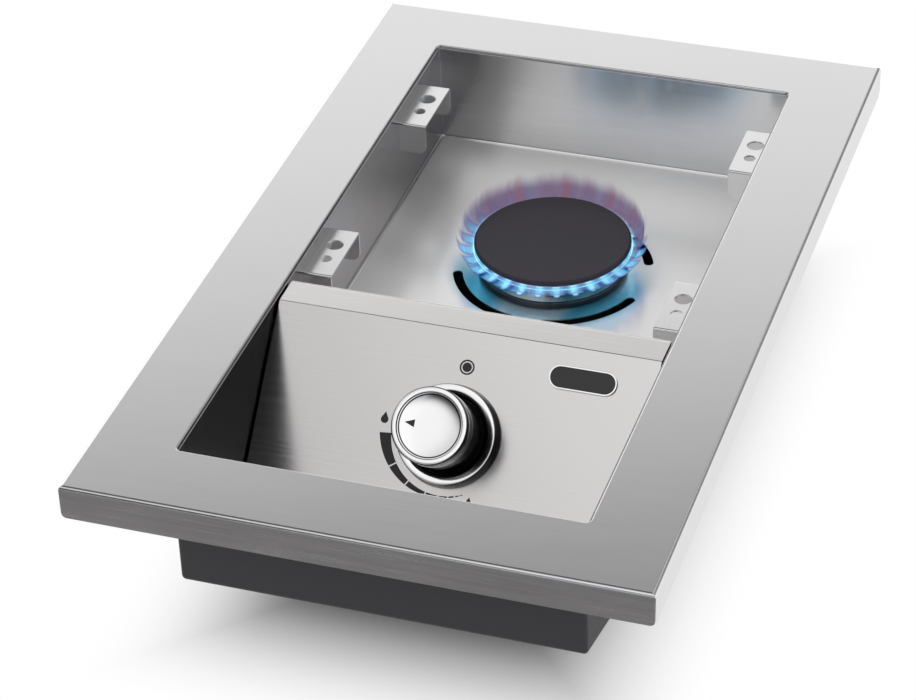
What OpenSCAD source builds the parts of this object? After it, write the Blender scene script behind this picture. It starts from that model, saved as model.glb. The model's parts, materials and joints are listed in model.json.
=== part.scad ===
// Built-in side burner: a trim frame that drops into a worktop, a sunk basin with one round
// gas burner, four brackets for a pan support, and a sloping control panel with one knob.
// Millimetres. +X is right, +Y is back, +Z is up; the origin is under the middle of the
// frame, on the surface that the base tray stands on.

/* [Trim frame] */
// Width of the trim frame
frame_w = 324; // [300:1:380]
// Depth of the trim frame, front to back
frame_d = 535; // [500:1:600]
// Height from the underside of the tray to the top of the frame
total_h = 130; // [124:1:150]
// Thickness of the frame's sheet
frame_t = 1; // [0.8:0.1:1.5]
// Depth of the turned-down outer skirt
skirt_h = 20.3; // [15:0.1:30]
// Chamfer on the lower corners of the skirt
skirt_chamfer = 3; // [1:0.5:6]
// Open seam between two neighbouring flaps of the skirt
seam_gap = 0.4; // [0.2:0.1:1]
// Width of the frame at each side of the opening
rim_side = 47.5; // [40:0.5:55]
// Width of the frame in front of the opening
rim_front = 47; // [40:0.5:55]
// Width of the frame behind the opening
rim_back = 45.3; // [40:0.1:55]
// Corner radius of the opening
opening_r = 3; // [1:0.5:6]
// Depth of the turned-down lip round the opening
lip_h = 9; // [6:0.5:14]

/* [Casing and tray] */
// Thickness of the casing, pan and panel sheet
sheet_t = 0.8; // [0.6:0.1:1.2]
// Clearance between sheet parts that are fastened together
sheet_gap = 0.3; // [0.2:0.05:0.5]
// How far the casing's top edge lies below the top of the frame
casing_drop = 1.6; // [1.5:0.1:4]
// How far the casing's front wall lies ahead of the opening's front edge
front_setback = 8; // [6:0.5:14]
// How far the casing's walls reach below the pan
casing_below = 11.5; // [10:0.5:14]
// Width of the strips that fasten the casing under the frame
hang_w = 16; // [10:1:24]
// Thickness of the tray's sheet
tray_t = 0.7; // [0.6:0.1:1.2]
// Depth of the tray's rim below the top of the frame
tray_rim_drop = 44; // [36:1:56]
// Depth of the tray's front edge below the top of the frame
tray_front_drop = 82.5; // [80:0.5:95]
// Slope of the tray's front underside
tray_slope = 14.6; // [12:0.1:20]
// Distance from each end of the basin to the row of air slots in the tray's side
air_slot_margin = 50; // [40:1:80]
// Share of the row that is slot rather than sheet
air_slot_share = 0.75; // [0.5:0.05:0.8]
// Width of an air slot
air_slot_w = 5; // [4:0.5:8]
// Number of air slots in each side
air_slots = 5; // [2:1:6]
// Height of the air slots above the tray's underside
air_slot_z = 26; // [14:1:34]

/* [Basin and brackets] */
// Distance from the opening's front edge to the back of the ridge
recess_d = 170; // [160:0.5:180]
// Depth of the pan below the top of the frame
pan_drop = 66.5; // [60:0.5:68]
// Height of the pan's turned-down hem
hem_h = 6; // [4:0.5:8]
// Depth of the bracket plates below the top of the frame
bracket_drop = 10; // [8:0.5:16]
// Thickness of a bracket
bracket_t = 1.2; // [1:0.1:2]
// How far a bracket reaches in from the wall
bracket_w = 17.3; // [16:0.1:22]
// Length of a bracket, front to back
bracket_l = 49; // [44:0.5:60]
// Height of a bracket's end flanges
bracket_h = 20; // [15:0.5:26]
// Distance from the opening's back edge to the middle of the back brackets
bracket_inset = 57.2; // [50:0.1:64]
// Distance from the ridge to the middle of the front brackets
bracket_front_inset = 44.5; // [40:0.1:64]
// Distance from the wall to the bracket holes
bracket_hole_in = 8.1; // [7.5:0.1:9]
// Radius of the bracket's large hole
bracket_big_r = 5.2; // [4.5:0.1:6]
// Radius of the bracket's small hole
bracket_small_r = 3.5; // [2.5:0.1:4]
// Distance between a bracket's two holes
bracket_hole_pitch = 15; // [13:0.5:18]

/* [Burner] */
// How far the burner's centre lies behind the middle of the basin
burner_back = 6.65; // [-5:0.05:15]
// Radius of the burner's cap
cap_r = 47.7; // [42:0.1:50]
// Thickness of the cap
cap_t = 3.8; // [3:0.1:6]
// Radius of the burner's head
head_r = 44.3; // [40:0.1:45]
// Height of the burner's head
head_h = 13; // [10:0.5:16]
// Wall of the burner's head
head_wall = 5; // [4:0.5:7]
// Number of flame ports
ports = 28; // [16:2:36]
// Width of a flame port
port_w = 2.6; // [1.5:0.1:3]
// Depth of a flame port
port_h = 3.4; // [2:0.1:5]
// Radius of the burner's base
base_r = 45.5; // [43:0.1:47]
// Thickness of the burner's base
base_t = 4.1; // [3:0.1:6]
// Thickness of the gasket under the base
gasket_t = 0.6; // [0.5:0.1:1]
// Radius of the gas throat in the base and head
throat_r = 12.5; // [10:0.1:13]
// Radius of the circle that the air slots in the pan follow
pan_slot_r = 58.2; // [56:0.1:62]
// Width of the air slots in the pan
pan_slot_w = 6; // [4:0.1:7]
// Angle that each slot starts at, from a side
pan_slot_start = 21; // [15:1:30]
// Angle that each slot spans
pan_slot_span = 58; // [40:1:60]

/* [Gas train] */
// Outer radius of the mixing tube
mix_r = 15; // [14.5:0.1:18]
// Share of the height under the pan that the mixing tube takes
mix_share = 0.3575; // [0.32:0.0005:0.4]
// Radius of the injector holder's body
holder_r = 9; // [8.5:0.1:11]
// Radius of a pipe thread on the holder and valve
thread_r = 6; // [5.6:0.1:6.5]
// Outer radius of the gas tube to the burner
tube_r = 4; // [3:0.1:4.2]
// Bend radius of the gas tube
tube_bend = 20; // [14:1:26]
// Outer radius of the pipe from the inlet to the valve
pipe_r = 5; // [4:0.1:5.5]
// Bend radius of that pipe
pipe_bend = 14; // [11:1:18]
// Distance from the tray's right side to that pipe
pipe_in = 40; // [30:1:50]
// Gap between the inlet's nut and the casing above it
pipe_under = 2.6; // [1:0.1:6]
// Thread radius of the gas inlet
inlet_r = 7.94; // [7:0.01:9]
// Length of the gas inlet's thread
inlet_l = 14; // [10:0.5:18]

/* [Control panel] */
// Depth of the ridge below the top of the frame
ridge_drop = 2.5; // [2:0.5:6]
// Width of the ridge, front to back
ridge_w = 20; // [15:0.5:28]
// Slope of the panel below level
panel_slope = 46.5; // [42:0.5:52]
// Gap between the panel and the wall at each side
panel_gap = 1.3; // [0.8:0.1:2.5]
// Depth of the recess's floor below the top of the frame
recess_drop = 76; // [74:0.5:76]
// Width of the folded returns at the panel's sides
return_w = 10; // [6:1:14]
// Distance down the panel from the ridge to the knob's centre
knob_down = 60.3; // [54:0.1:66]
// Distance of the knob's centre to the right of the middle
knob_x = 1.5; // [-10:0.5:10]

/* [Knob] */
// Radius of the knob's metal ring
knob_r = 21.7; // [19:0.1:22]
// Height of the knob's front above the panel
knob_h = 44.5; // [42:0.5:48]
// Radius of the knob's front disc
face_r = 18.6; // [16:0.1:18.8]
// Height of the knob's metal band above the panel
band_z = 32; // [30:0.5:34]
// Length of the knob's metal band
band_l = 7.6; // [5:0.1:8]
// Thickness of the knob's front ring
ring_l = 2.6; // [2:0.1:3]
// Gap between the knob and the panel
knob_gap = 6; // [5.5:0.1:8]
// How far the knob pushes in
knob_travel = 4; // [2:0.5:4]
// Radius of the valve's stem
stem_r = 3; // [2.8:0.1:3.4]
// Running clearance round the stem and rotor
running_gap = 0.05; // [0.03:0.01:0.08]
// Radius of the bezel at the panel
bezel_r = 29.5; // [28:0.1:31]
// Radius of the bezel's front edge
bezel_front_r = 28.3; // [27.5:0.1:29]
// Inner radius of the bezel
bezel_in_r = 24.4; // [23.8:0.1:25]
// Height of the bezel
bezel_h = 9.5; // [7:0.5:12]

/* [Valve] */
// Radius of the valve's body
valve_r = 14; // [13.5:0.1:16]
// Length of the valve's body
valve_l = 33.2; // [32:0.1:38]
// Length of the valve's bonnet
bonnet_l = 11; // [10.5:0.1:13]
// Radius of the valve's bonnet
bonnet_r = 13.5; // [13.4:0.1:13.8]
// Radius of the valve's rotor
rotor_r = 9; // [8:0.1:9.2]
// Length of the valve's rotor
rotor_l = 28; // [27:0.5:29]
// Radius of the gas ways in the valve
gas_way_r = 2.6; // [2:0.1:2.8]
// Distance from the knob's centre to each valve screw
valve_screw_at = 13.5; // [12.5:0.1:14]

/* [Marks and plate] */
// Inner radius of the printed scale
scale_r = 33.6; // [32:0.1:38]
// Width of the scale at its high end
scale_w = 6.8; // [3:0.1:8]
// Width of the scale at its low end
scale_end_w = 0.5; // [0.4:0.1:2]
// Angle where the scale starts, counterclockwise from the right
scale_start = 186; // [180:1:200]
// Angle that the scale spans
scale_span = 108; // [80:1:110]
// Distance from the ridge to the off mark
off_down = 20.6; // [18:0.1:24]
// Outer radius of the off mark
off_r = 4.3; // [3:0.1:5]
// Thickness of the printed marks
print_t = 0.15; // [0.1:0.05:0.3]
// Width of the blank plate
plate_w = 39; // [30:0.5:44]
// Height of the blank plate
plate_h = 13.5; // [10:0.5:16]
// Thickness of the blank plate
plate_t = 1.4; // [1:0.1:2]
// Distance from the panel's right edge to the blank plate's middle
plate_in = 41.5; // [36:0.1:48]
// Distance from the ridge to the blank plate's middle
plate_down = 17.5; // [14:0.1:22]

/* [Igniter] */
// Distance from the burner's centre to the electrode
electrode_at = 51.5; // [50.5:0.1:52]
// Radius of the electrode's ceramic
ceramic_r = 3.2; // [2.6:0.1:3.4]
// Radius of the spark generator
piezo_r = 7; // [6:0.1:8]
// Length of the spark generator
piezo_l = 36; // [30:1:38]
// Radius of the igniter's lead
lead_r = 1.5; // [1:0.1:1.8]

/* [Hidden] */

// Facets of large, middling and small round forms
fine = 96;
mid = 48;
small = 24;
// Sides of a hexagon
hex = 6;
// How far a cut runs past the face that it leaves
cut = 1;

// Frame and opening
half_open = frame_w / 2 - rim_side;
open_front = -frame_d / 2 + rim_front;
open_back = frame_d / 2 - rim_back;
open_mid = (open_front + open_back) / 2;

// Casing
case_half = half_open - sheet_gap;
case_front = open_front - front_setback;
case_back = open_back - sheet_gap;
case_in = case_half - sheet_t;
case_bottom = total_h - pan_drop - casing_below;

// Tray
tray_half = case_half + sheet_gap / 3 + tray_t;
tray_front = case_front - sheet_gap / 3 - tray_t;
tray_back = case_back + sheet_gap / 3 + tray_t;
tray_front_z = total_h - tray_front_drop;
tray_knee = tray_front + tray_front_z / tan(tray_slope);
tray_rim = total_h - tray_rim_drop;
tray_screw_r = 1.7;
tray_screw_head_r = 3.4;
tray_screw_head_h = 1.8;
tray_screw_l = 8;
tray_screw_front = 37;
tray_screw_inset = 34;

// Pan, ridge and panel
pan_z = total_h - pan_drop;
pan_half = case_in - sheet_gap / 2;
ridge_back = open_front + recess_d;
basin_d = open_back - ridge_back;
basin_mid = (open_back + ridge_back) / 2;
ridge_z = total_h - ridge_drop;
ridge_front = ridge_back - ridge_w;
panel_half = case_in - panel_gap;
recess_z = total_h - recess_drop;
panel_foot = ridge_front - (ridge_z - recess_z) / tan(panel_slope);
panel_lip_h = 8;
pan_front = ridge_back - ridge_w / 2;
pan_back = case_back - sheet_t - sheet_gap / 2;
tray_screw_z = (case_bottom + pan_z - hem_h) / 2;
shield_y = ridge_back + ridge_w / 3;
shield_foot = 12;
grommet_gap = 1;
back_y = open_back - bracket_inset;
front_y = ridge_back + bracket_front_inset;
air_slot_pitch = (basin_d - 2 * air_slot_margin) / air_slots;
air_slot_l = air_slot_pitch * air_slot_share;

// Burner
burner_y = basin_mid + burner_back;
base_z = pan_z + gasket_t;
head_z = base_z + base_t;
cap_z = head_z + head_h;
cap_edge = cap_t / 3;
cap_rib_h = 2;
cap_rib_r = head_r - head_wall - sheet_gap;
cap_rib_w = 2;
head_floor = 2.5;
head_gap = 0.2;
throat_wall = 0.9;
throat_l = 10;
pan_hole_r = throat_r + throat_wall + sheet_gap;
burner_screw_at = 22;
burner_screw_r = 1.95;
burner_screw_depth = base_t * 0.7;
burner_screw_head_r = 3.6;
burner_screw_head_h = 2.4;
burner_screws_n = 3;
gasket_r = 30;
mix_wall = 1.2;
mix_flange_r = 27;
mix_flange_t = 1.2;
mix_top = pan_z - sheet_t;
mix_bottom = mix_top - mix_share * pan_z;
mix_window_w = 11;
mix_window_h = 8;
mix_windows = 4;

// Injector and its holder
holder_l = 17;
holder_z = mix_bottom - holder_l;
holder_floor = 1;
holder_port_z = holder_z + thread_r + holder_floor;
holder_spigot_l = 6;
port_l = 13;
port_y = burner_y - holder_r - port_l;
injector_bore_r = 3.5;
injector_hex_r = 4.6;
injector_hex_h = 3.5;
injector_l = 3.5;
orifice_r = 0.5;
injector_nut_r = 10.4;
injector_nut_h = 4;
tube_nut_r = 9.6;
tube_nut_l = 14;
nut_reach = 8;

// Knob axis, through the panel's front face
knob_y = ridge_front - knob_down * cos(panel_slope);
knob_z = ridge_z - knob_down * sin(panel_slope);

// Valve, measured along the knob's axis from the panel's front face
bonnet_top = -sheet_t;
bonnet_bottom = bonnet_top - bonnet_l;
neck_l = 2.5;
bonnet_bore_r = 8;
ear_r = 5;
ear_t = 5;
rotor_end_gap = 0.2;
rotor_top = bonnet_bottom - rotor_end_gap;
rotor_bottom = rotor_top - rotor_l;
valve_bottom = bonnet_bottom - valve_l;
spigot_l = 10;
spigot_end = valve_bottom - spigot_l;
inlet_at = rotor_bottom + rotor_r / 2;
boss_r = 8;
boss_reach = 26;
boss_socket = 6;
stem_in_rotor = 15;
stem_inner = rotor_top - stem_in_rotor;
stem_outer = band_z;
stem_shy = 1;
stem_flat = stem_r * 0.75;
flat_l = 14;
collar_r = 6.5;
collar_gap = 0.1;
collar_top = bonnet_top - neck_l - collar_gap;
collar_t = 1.6;
spring_r = 4.8;
spring_wire_r = 0.4;
spring_turns = 2;
spring_steps = 16;
spring_end_gap = 0.1;
bonnet_screw_at = 11.2;
bonnet_screw_r = 1.25;
bonnet_screw_head_r = 2;
bonnet_screw_head_h = 2;
bonnet_screw_l = 18;
valve_screw_r = 1.95;
valve_screw_head_r = 3.5;
valve_screw_head_h = 2.2;
screw_play = 0.2;

// Knob
knob_wall = 2.2;
band_step = 0.8;
body_r = knob_r - band_step;
flare_out = 0.1;
flare_r = knob_r + flare_out;
flare_h = 4;
face_shoulder = 0.8;
core_r = face_r - face_shoulder;
hub_r = 6.5;
hub_in = 6;
hub_bottom = knob_gap + hub_in;
cup_floor = 1.5;
hub_top = band_z - cup_floor;
face_drop = 0.7;
face_seat = 0.4;
face_t = ring_l - face_drop - face_seat;
face_dish = 0.6;
dish_steps = 8;
ring_round = 1;
pointer_l = 5.5;
pointer_w = 4.2;
pointer_at = 11.5;
pointer_low = knob_h - face_drop - face_dish;
pointer_t = 0.5;
bezel_round = 0.9;
liner_t = 0.8;
liner_r = bezel_in_r - sheet_gap / 6;
liner_floor_r = 19.5;
stud_at = (bezel_in_r + bezel_r) / 2;
stud_r = 1.45;
stud_l = 6;
bezel_nut_r = 3.2;
bezel_nut_h = 2.4;
stem_hole_r = 4.5;

// Igniter
piezo_x = -valve_r - piezo_r - sheet_t;
piezo_top = bonnet_bottom;
piezo_saddle_w = 10;
piezo_tail_r = 3;
piezo_tail_l = 3;
piezo_end = piezo_top - piezo_l - piezo_tail_l;
rod_r = 0.9;
electrode_y = burner_y + electrode_at;
ceramic_share = 0.315;
ceramic_up = 7;
electrode_low = pan_z - ceramic_share * pan_z;
electrode_top = pan_z + ceramic_up;
rod_foot = 6;
rod_bend = 2;
spark_gap = 3;
rod_tip_z = cap_z - port_h;
rod_tip_y = burner_y + head_r + spark_gap;
lead_before = 8;
lead_after = 12;
lead_turn = 24;
lead_step = 6;
lead_low = 8;
clip_t = 1;
clip_l = 22;
clip_w = 11;
clip_screw_at = 13;
clip_screw_r = 1.6;
clip_screw_head_r = 3;
clip_screw_head_h = 1.8;
clip_screw_l = 6;
shoulder_r = 4.8;
shoulder_h = 3;

// Gas inlet
inlet_nut_r = 13.4;
inlet_hex_t = 7;
inlet_body_r = 9;
inlet_locknut_t = 6;
inlet_inner_l = 16;
inlet_bore_r = 4;
inlet_nose = 3;
nose_wall = 0.5;
inlet_end = tray_back - tray_t - inlet_inner_l;
pipe_x = tray_half - pipe_in;
pipe_z = case_bottom - inlet_nut_r - pipe_under;

// Marks, as shares of the scale's span that each printed stretch covers
scale_shares = [
    [0, 0.268], [0.28, 0.466], [0.478, 0.654], [0.666, 0.77],
    [0.785, 0.86], [0.875, 0.92], [0.935, 0.965], [0.98, 1]
];
scale_steps = 8;
low_mark_past = 4;
off_x = 3.9;
off_line = 0.9;
off_dot_r = off_r * 0.62;
low_mark_out = 4.4;
low_mark_at = scale_r + low_mark_out;
low_mark_angle = scale_start + scale_span + low_mark_past;
low_mark_r = 1.9;
high_mark_out = 5.4;
high_mark_at = scale_r + high_mark_out;
high_mark_angle = 175;
high_mark_r = 2.2;
taper = 1.3;
inlay_rim = 0.9;
inlay_depth = 0.5;
plate_x = panel_half - plate_in;
plate_round = plate_h * 0.49;

// Rods that are swept along a path
sweep_sides = 16;
lead_sides = 8;
bend_steps = 6;
slot_steps = 14;
lead_bend = 9;

// Round corners of a rectangle, as one outline
function rounded(w, d, r, steps = 6) = [
    for (c = [0:3], s = [0:steps])
        let (a = 90 * (c + s / steps), sx = (c == 0 || c == 3) ? 1 : -1, sy = c < 2 ? 1 : -1)
            [sx * (w / 2 - r) + r * cos(a), sy * (d / 2 - r) + r * sin(a)]
];

// A sheet of thickness t bent along the points p, with mitred corners
function unit(v) = v / norm(v);
function left(v) = [-v[1], v[0]];
function run(p, i) = unit(p[i + 1] - p[i]);
function mitre(p, i) =
    i == 0 ? left(run(p, 0)) :
    i == len(p) - 1 ? left(run(p, i - 1)) :
    let (a = left(run(p, i - 1)), b = left(run(p, i))) (a + b) / (1 + a * b);
function bent(p, t) = concat(p, [for (i = [len(p) - 1:-1:0]) p[i] + t * mitre(p, i)]);

// A route through the points p with each corner rounded to the radius r
function corner(a, b, c, r) =
    let (
        u = unit(a - b), v = unit(c - b),
        half = acos(max(-1, min(1, u * v))) / 2,
        reach = r / tan(half),
        middle = b + unit(u + v) * r / sin(half)
    )
    half > 89 ? [b] : [
        for (s = [0:bend_steps])
            let (
                from = b + reach * u - middle,
                to = b + reach * v - middle,
                turn = 180 - 2 * half,
                k = s / bend_steps
            )
            middle + (sin((1 - k) * turn) * from + sin(k * turn) * to) / sin(turn)
    ];
function route(p, r) = concat(
    [p[0]],
    [for (i = [1:len(p) - 2]) each corner(p[i - 1], p[i], p[i + 1], r)],
    [p[len(p) - 1]]
);

// Rings of points square to a route, carried along without twist
function heading(p, i) =
    i == 0 ? unit(p[1] - p[0]) :
    i == len(p) - 1 ? unit(p[i] - p[i - 1]) :
    unit(unit(p[i] - p[i - 1]) + unit(p[i + 1] - p[i]));
function any_side(v) = unit(cross(v, abs(v[0]) < 0.9 ? [1, 0, 0] : [0, 1, 0]));
function sides_along(p, i, s) =
    i == len(p) ? [] :
    let (h = heading(p, i), q = unit(s - (s * h) * h))
    concat([q], sides_along(p, i + 1, q));
function ring(c, h, s, r, n) = [
    for (k = [0:n - 1]) c + r * (cos(360 * k / n) * s + sin(360 * k / n) * cross(h, s))
];

module swept(p, r, n) {
    s = sides_along(p, 0, any_side(heading(p, 0)));
    count = len(p);
    points = [for (i = [0:count - 1]) each ring(p[i], heading(p, i), s[i], r, n)];
    walls = [
        for (i = [0:count - 2], k = [0:n - 1], half = [0, 1])
            let (a = i * n + k, b = i * n + (k + 1) % n)
                half == 0 ? [a, a + n, b] : [b, a + n, b + n]
    ];
    first = [for (k = [0:n - 1]) k];
    last = [for (k = [n - 1:-1:0]) (count - 1) * n + k];
    polyhedron(points, concat([first], walls, [last]));
}

// A side outline, [y, z] points, drawn out over the width w
module across(points, w) {
    translate([-w / 2, 0, 0]) rotate([90, 0, 90]) linear_extrude(w) polygon(points);
}

// A front outline, [x, z] points, drawn out over the depth d from the plane y
module along(points, y, d) {
    translate([0, y + d, 0]) rotate([90, 0, 0]) linear_extrude(d) polygon(points);
}

module slab(x0, x1, y0, y1, z0, z1) {
    translate([x0, y0, z0]) cube([x1 - x0, y1 - y0, z1 - z0]);
}

module disc(r, z0, z1, n = mid) {
    translate([0, 0, z0]) cylinder(r = r, h = z1 - z0, $fn = n);
}

module tube(r, bore, z0, z1, n = mid) {
    difference() {
        disc(r, z0, z1, n);
        disc(bore, z0 - cut, z1 + cut, n);
    }
}

module turned(profile, n = fine) {
    rotate_extrude($fn = n) polygon(profile);
}

module at_burner() {
    translate([0, burner_y, 0]) children();
}

// Local frame on the panel: +Z out of the face, +Y up the slope, at x and at a distance down
module on_panel(x, down) {
    translate([x, ridge_front - down * cos(panel_slope), ridge_z - down * sin(panel_slope)])
        rotate([panel_slope, 0, 0]) children();
}

module at_knob() {
    on_panel(knob_x, knob_down) children();
}

// A point on the knob's axis frame, in the part's own frame
function knob_point(x, y, z) = [
    knob_x + x,
    knob_y + y * cos(panel_slope) - z * sin(panel_slope),
    knob_z + y * sin(panel_slope) + z * cos(panel_slope)
];

// One side's flap of the skirt, with its lower corners cut
function flap(w, z0, z1, c) = [
    [-w / 2, z1], [-w / 2, z0 + c], [-w / 2 + c, z0], [w / 2 - c, z0], [w / 2, z0 + c], [w / 2, z1]
];

module trim_frame() color("silver") {
    translate([0, 0, total_h - frame_t]) linear_extrude(frame_t) difference() {
        square([frame_w, frame_d], center = true);
        translate([0, open_mid]) polygon(rounded(2 * half_open, open_back - open_front, opening_r));
    }
    low = total_h - skirt_h;
    for (y = [-frame_d / 2, frame_d / 2 - frame_t])
        along(flap(frame_w, low, total_h, skirt_chamfer), y, frame_t);
    side_l = frame_d - 2 * (frame_t + seam_gap);
    for (x = [-frame_w / 2, frame_w / 2 - frame_t])
        translate([x + frame_t / 2, 0, 0])
            across(flap(side_l, low, total_h, skirt_chamfer), frame_t);
    lip = total_h - lip_h;
    lip_l = open_back - open_front - 2 * opening_r;
    for (x = [-half_open - frame_t, half_open])
        slab(x, x + frame_t, open_mid - lip_l / 2, open_mid + lip_l / 2, lip, total_h - frame_t);
    lip_w = half_open - opening_r;
    for (y = [open_front - frame_t, open_back])
        slab(-lip_w, lip_w, y, y + frame_t, lip, total_h - frame_t);
}

module tray_screw_places() {
    for (side = [-1, 1], y = [ridge_back - tray_screw_front, open_mid, case_back - tray_screw_inset])
        translate([side * (case_half - sheet_t), y, tray_screw_z])
            rotate([0, side * 90, 0]) children();
}

module casing() color("gainsboro") difference() {
    union() {
        difference() {
            slab(-case_half, case_half, case_front, case_back, case_bottom, total_h - casing_drop);
            slab(-case_in, case_in, case_front + sheet_t, case_back - sheet_t,
                case_bottom - cut, total_h + cut);
        }
        slab(-case_half, case_half, case_front, case_front + sheet_t,
            total_h - lip_h, total_h - frame_t);
        slab(-case_half, case_half, case_front - hang_w, case_front + sheet_t,
            total_h - frame_t - sheet_t, total_h - frame_t);
    }
    tray_screw_places() disc(tray_screw_r, -cut, tray_t + sheet_t + cut + cut, small);
}

// The tray's outline seen from the side, inset by t
function tray_side(t) = [
    [tray_front + t, tray_rim],
    [tray_front + t, tray_front_z + t * (1 - sin(tray_slope)) / cos(tray_slope)],
    [tray_knee + t * tan(tray_slope / 2), t],
    [tray_back - t, t],
    [tray_back - t, tray_rim]
];

module air_slot() {
    for (end = [-1, 1])
        translate([end * (air_slot_l - air_slot_w) / 2, 0, 0])
            disc(air_slot_w / 2, -tray_t - cut, tray_t + cut, small);
    slab(-(air_slot_l - air_slot_w) / 2, (air_slot_l - air_slot_w) / 2,
        -air_slot_w / 2, air_slot_w / 2, -tray_t - cut, tray_t + cut);
}

module base_tray() color("dimgray") difference() {
    across(tray_side(0), 2 * tray_half);
    across(tray_side(tray_t), 2 * (tray_half - tray_t));
    slab(-tray_half + tray_t, tray_half - tray_t, tray_front + tray_t, tray_back - tray_t,
        tray_rim - cut, tray_rim + cut);
    tray_screw_places() disc(tray_screw_r, -cut, tray_t + sheet_t + cut + cut, small);
    for (side = [-1, 1], k = [0:air_slots - 1])
        translate([
            side * (tray_half - tray_t / 2),
            ridge_back + air_slot_margin + (k + 0.5) * air_slot_pitch,
            air_slot_z
        ]) rotate([90, 0, 90]) air_slot();
    translate([pipe_x, tray_back + cut, pipe_z]) rotate([90, 0, 0])
        disc(inlet_body_r + screw_play, 0, tray_t + cut + cut, mid);
}

module tray_screws() color("lightgray") tray_screw_places() {
    seat = sheet_t + sheet_gap / 3 + tray_t;
    disc(tray_screw_head_r, seat, seat + tray_screw_head_h, small);
    disc(tray_screw_r - screw_play / 2, seat - tray_screw_l, seat, small);
}

// The outline of a curved slot with round ends
function polar(r, a) = [r * cos(a), r * sin(a)];
function slot_arc(r, from, to) =
    [for (s = [0:slot_steps]) polar(r, from + (to - from) * s / slot_steps)];
function slot_end(a, turn) =
    [for (s = [1:bend_steps - 1])
        polar(pan_slot_r, a) + polar(pan_slot_w / 2, a + turn + 180 * s / bend_steps)];
function pan_slot(a0, a1) = concat(
    slot_arc(pan_slot_r + pan_slot_w / 2, a0, a1), slot_end(a1, 0),
    slot_arc(pan_slot_r - pan_slot_w / 2, a1, a0), slot_end(a0, 180)
);

module burner_screw_places() {
    at_burner() for (k = [0:burner_screws_n - 1])
        rotate([0, 0, 90 + 360 * (k + 0.5) / burner_screws_n])
            translate([burner_screw_at, 0, 0]) children();
}

module burner_pan() color("gainsboro") difference() {
    union() {
        slab(-pan_half, pan_half, pan_front, pan_back, pan_z - sheet_t, pan_z);
        for (x = [-pan_half, pan_half - sheet_t])
            slab(x, x + sheet_t, pan_front, pan_back, pan_z - hem_h, pan_z);
        for (y = [pan_front, pan_back - sheet_t])
            slab(-pan_half, pan_half, y, y + sheet_t, pan_z - hem_h, pan_z);
    }
    at_burner() {
        disc(pan_hole_r, pan_z - sheet_t - cut, pan_z + cut);
        for (side = [0, 1], end = [0, 1]) mirror([side, 0, 0]) mirror([0, end, 0])
            translate([0, 0, pan_z - sheet_t - cut]) linear_extrude(sheet_t + cut + cut)
                polygon(pan_slot(pan_slot_start, pan_slot_start + pan_slot_span));
        translate([0, electrode_at, 0])
            disc(ceramic_r + screw_play, pan_z - sheet_t - cut, pan_z + cut, small);
        translate([0, electrode_at + clip_screw_at, 0])
            disc(clip_screw_r + screw_play / 2, pan_z - sheet_t - cut, pan_z + cut, small);
    }
    burner_screw_places() disc(burner_screw_r + screw_play, pan_z - sheet_t - cut, pan_z + cut, small);
}

module control_panel() color("gainsboro") difference() {
    union() {
        lip_y = case_front + 2 * sheet_t + sheet_gap;
        across(bent([
            [ridge_back, pan_z], [ridge_back, ridge_z], [ridge_front, ridge_z],
            [panel_foot, recess_z], [lip_y, recess_z], [lip_y, recess_z + panel_lip_h]
        ], sheet_t), 2 * panel_half);
        slope_l = (ridge_z - recess_z) / sin(panel_slope) - return_w;
        for (x = [-panel_half, panel_half - sheet_t])
            on_panel(x, 0) slab(0, sheet_t, -slope_l, -return_w, -return_w, -sheet_t / 2);
    }
    at_knob() {
        disc(stem_hole_r, -sheet_t - cut, cut, mid);
        for (side = [-1, 1]) {
            translate([0, side * valve_screw_at, 0])
                disc(valve_screw_r + screw_play, -sheet_t - cut, cut, small);
            translate([side * stud_at, 0, 0])
                disc(stud_r + screw_play, -sheet_t - cut, cut, small);
        }
    }
}

module heat_shield() color("gray") {
    top = mix_top;
    difference() {
        across(bent([[shield_y + shield_foot, tray_t], [shield_y, tray_t], [shield_y, top]], -sheet_t),
            2 * (case_in - sheet_gap - hem_h));
        for (hole = [[knob_x, holder_port_z, tube_r], [pipe_x, pipe_z, pipe_r],
                     [piezo_x, holder_port_z, lead_r]])
            translate([hole[0], shield_y + cut + cut, hole[1]]) rotate([90, 0, 0])
                disc(hole[2] + grommet_gap, 0, sheet_t + 4 * cut, small);
    }
}

module bracket(side, y) {
    top = total_h - bracket_drop;
    low = top - bracket_h;
    inner = case_in - bracket_w;
    round_r = bracket_w / 3;
    end_face = concat(
        [[case_in, top], [inner, top], [inner, low + round_r]],
        [for (s = [1:bend_steps])
            let (a = 180 + 90 * s / bend_steps)
                [inner + round_r + round_r * cos(a), low + round_r + round_r * sin(a)]],
        [[case_in, low]]
    );
    mirror([side < 0 ? 1 : 0, 0, 0]) translate([0, y, 0]) difference() {
        union() {
            slab(inner, case_in, -bracket_l / 2, bracket_l / 2, top - bracket_t, top);
            slab(case_in - bracket_t, case_in, -bracket_l / 2, bracket_l / 2, (top + low) / 2, top);
            for (e = [-bracket_l / 2, bracket_l / 2 - bracket_t])
                along(end_face, e, bracket_t);
        }
        hole_x = case_in - bracket_hole_in;
        translate([hole_x, bracket_hole_pitch / 2, 0])
            disc(bracket_big_r, top - bracket_t - cut, top + cut, mid);
        translate([hole_x, -bracket_hole_pitch / 2, 0])
            disc(bracket_small_r, top - bracket_t - cut, top + cut, mid);
    }
}

module burner_cap() color("#3b383f") at_burner() {
    turned([
        [0, cap_z], [cap_r - cap_edge, cap_z], [cap_r, cap_z + cap_edge],
        [cap_r, cap_z + cap_t - cap_edge / 2], [cap_r - cap_edge / 2, cap_z + cap_t],
        [0, cap_z + cap_t]
    ]);
    tube(cap_rib_r, cap_rib_r - cap_rib_w, cap_z - cap_rib_h, cap_z, fine);
}

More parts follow.
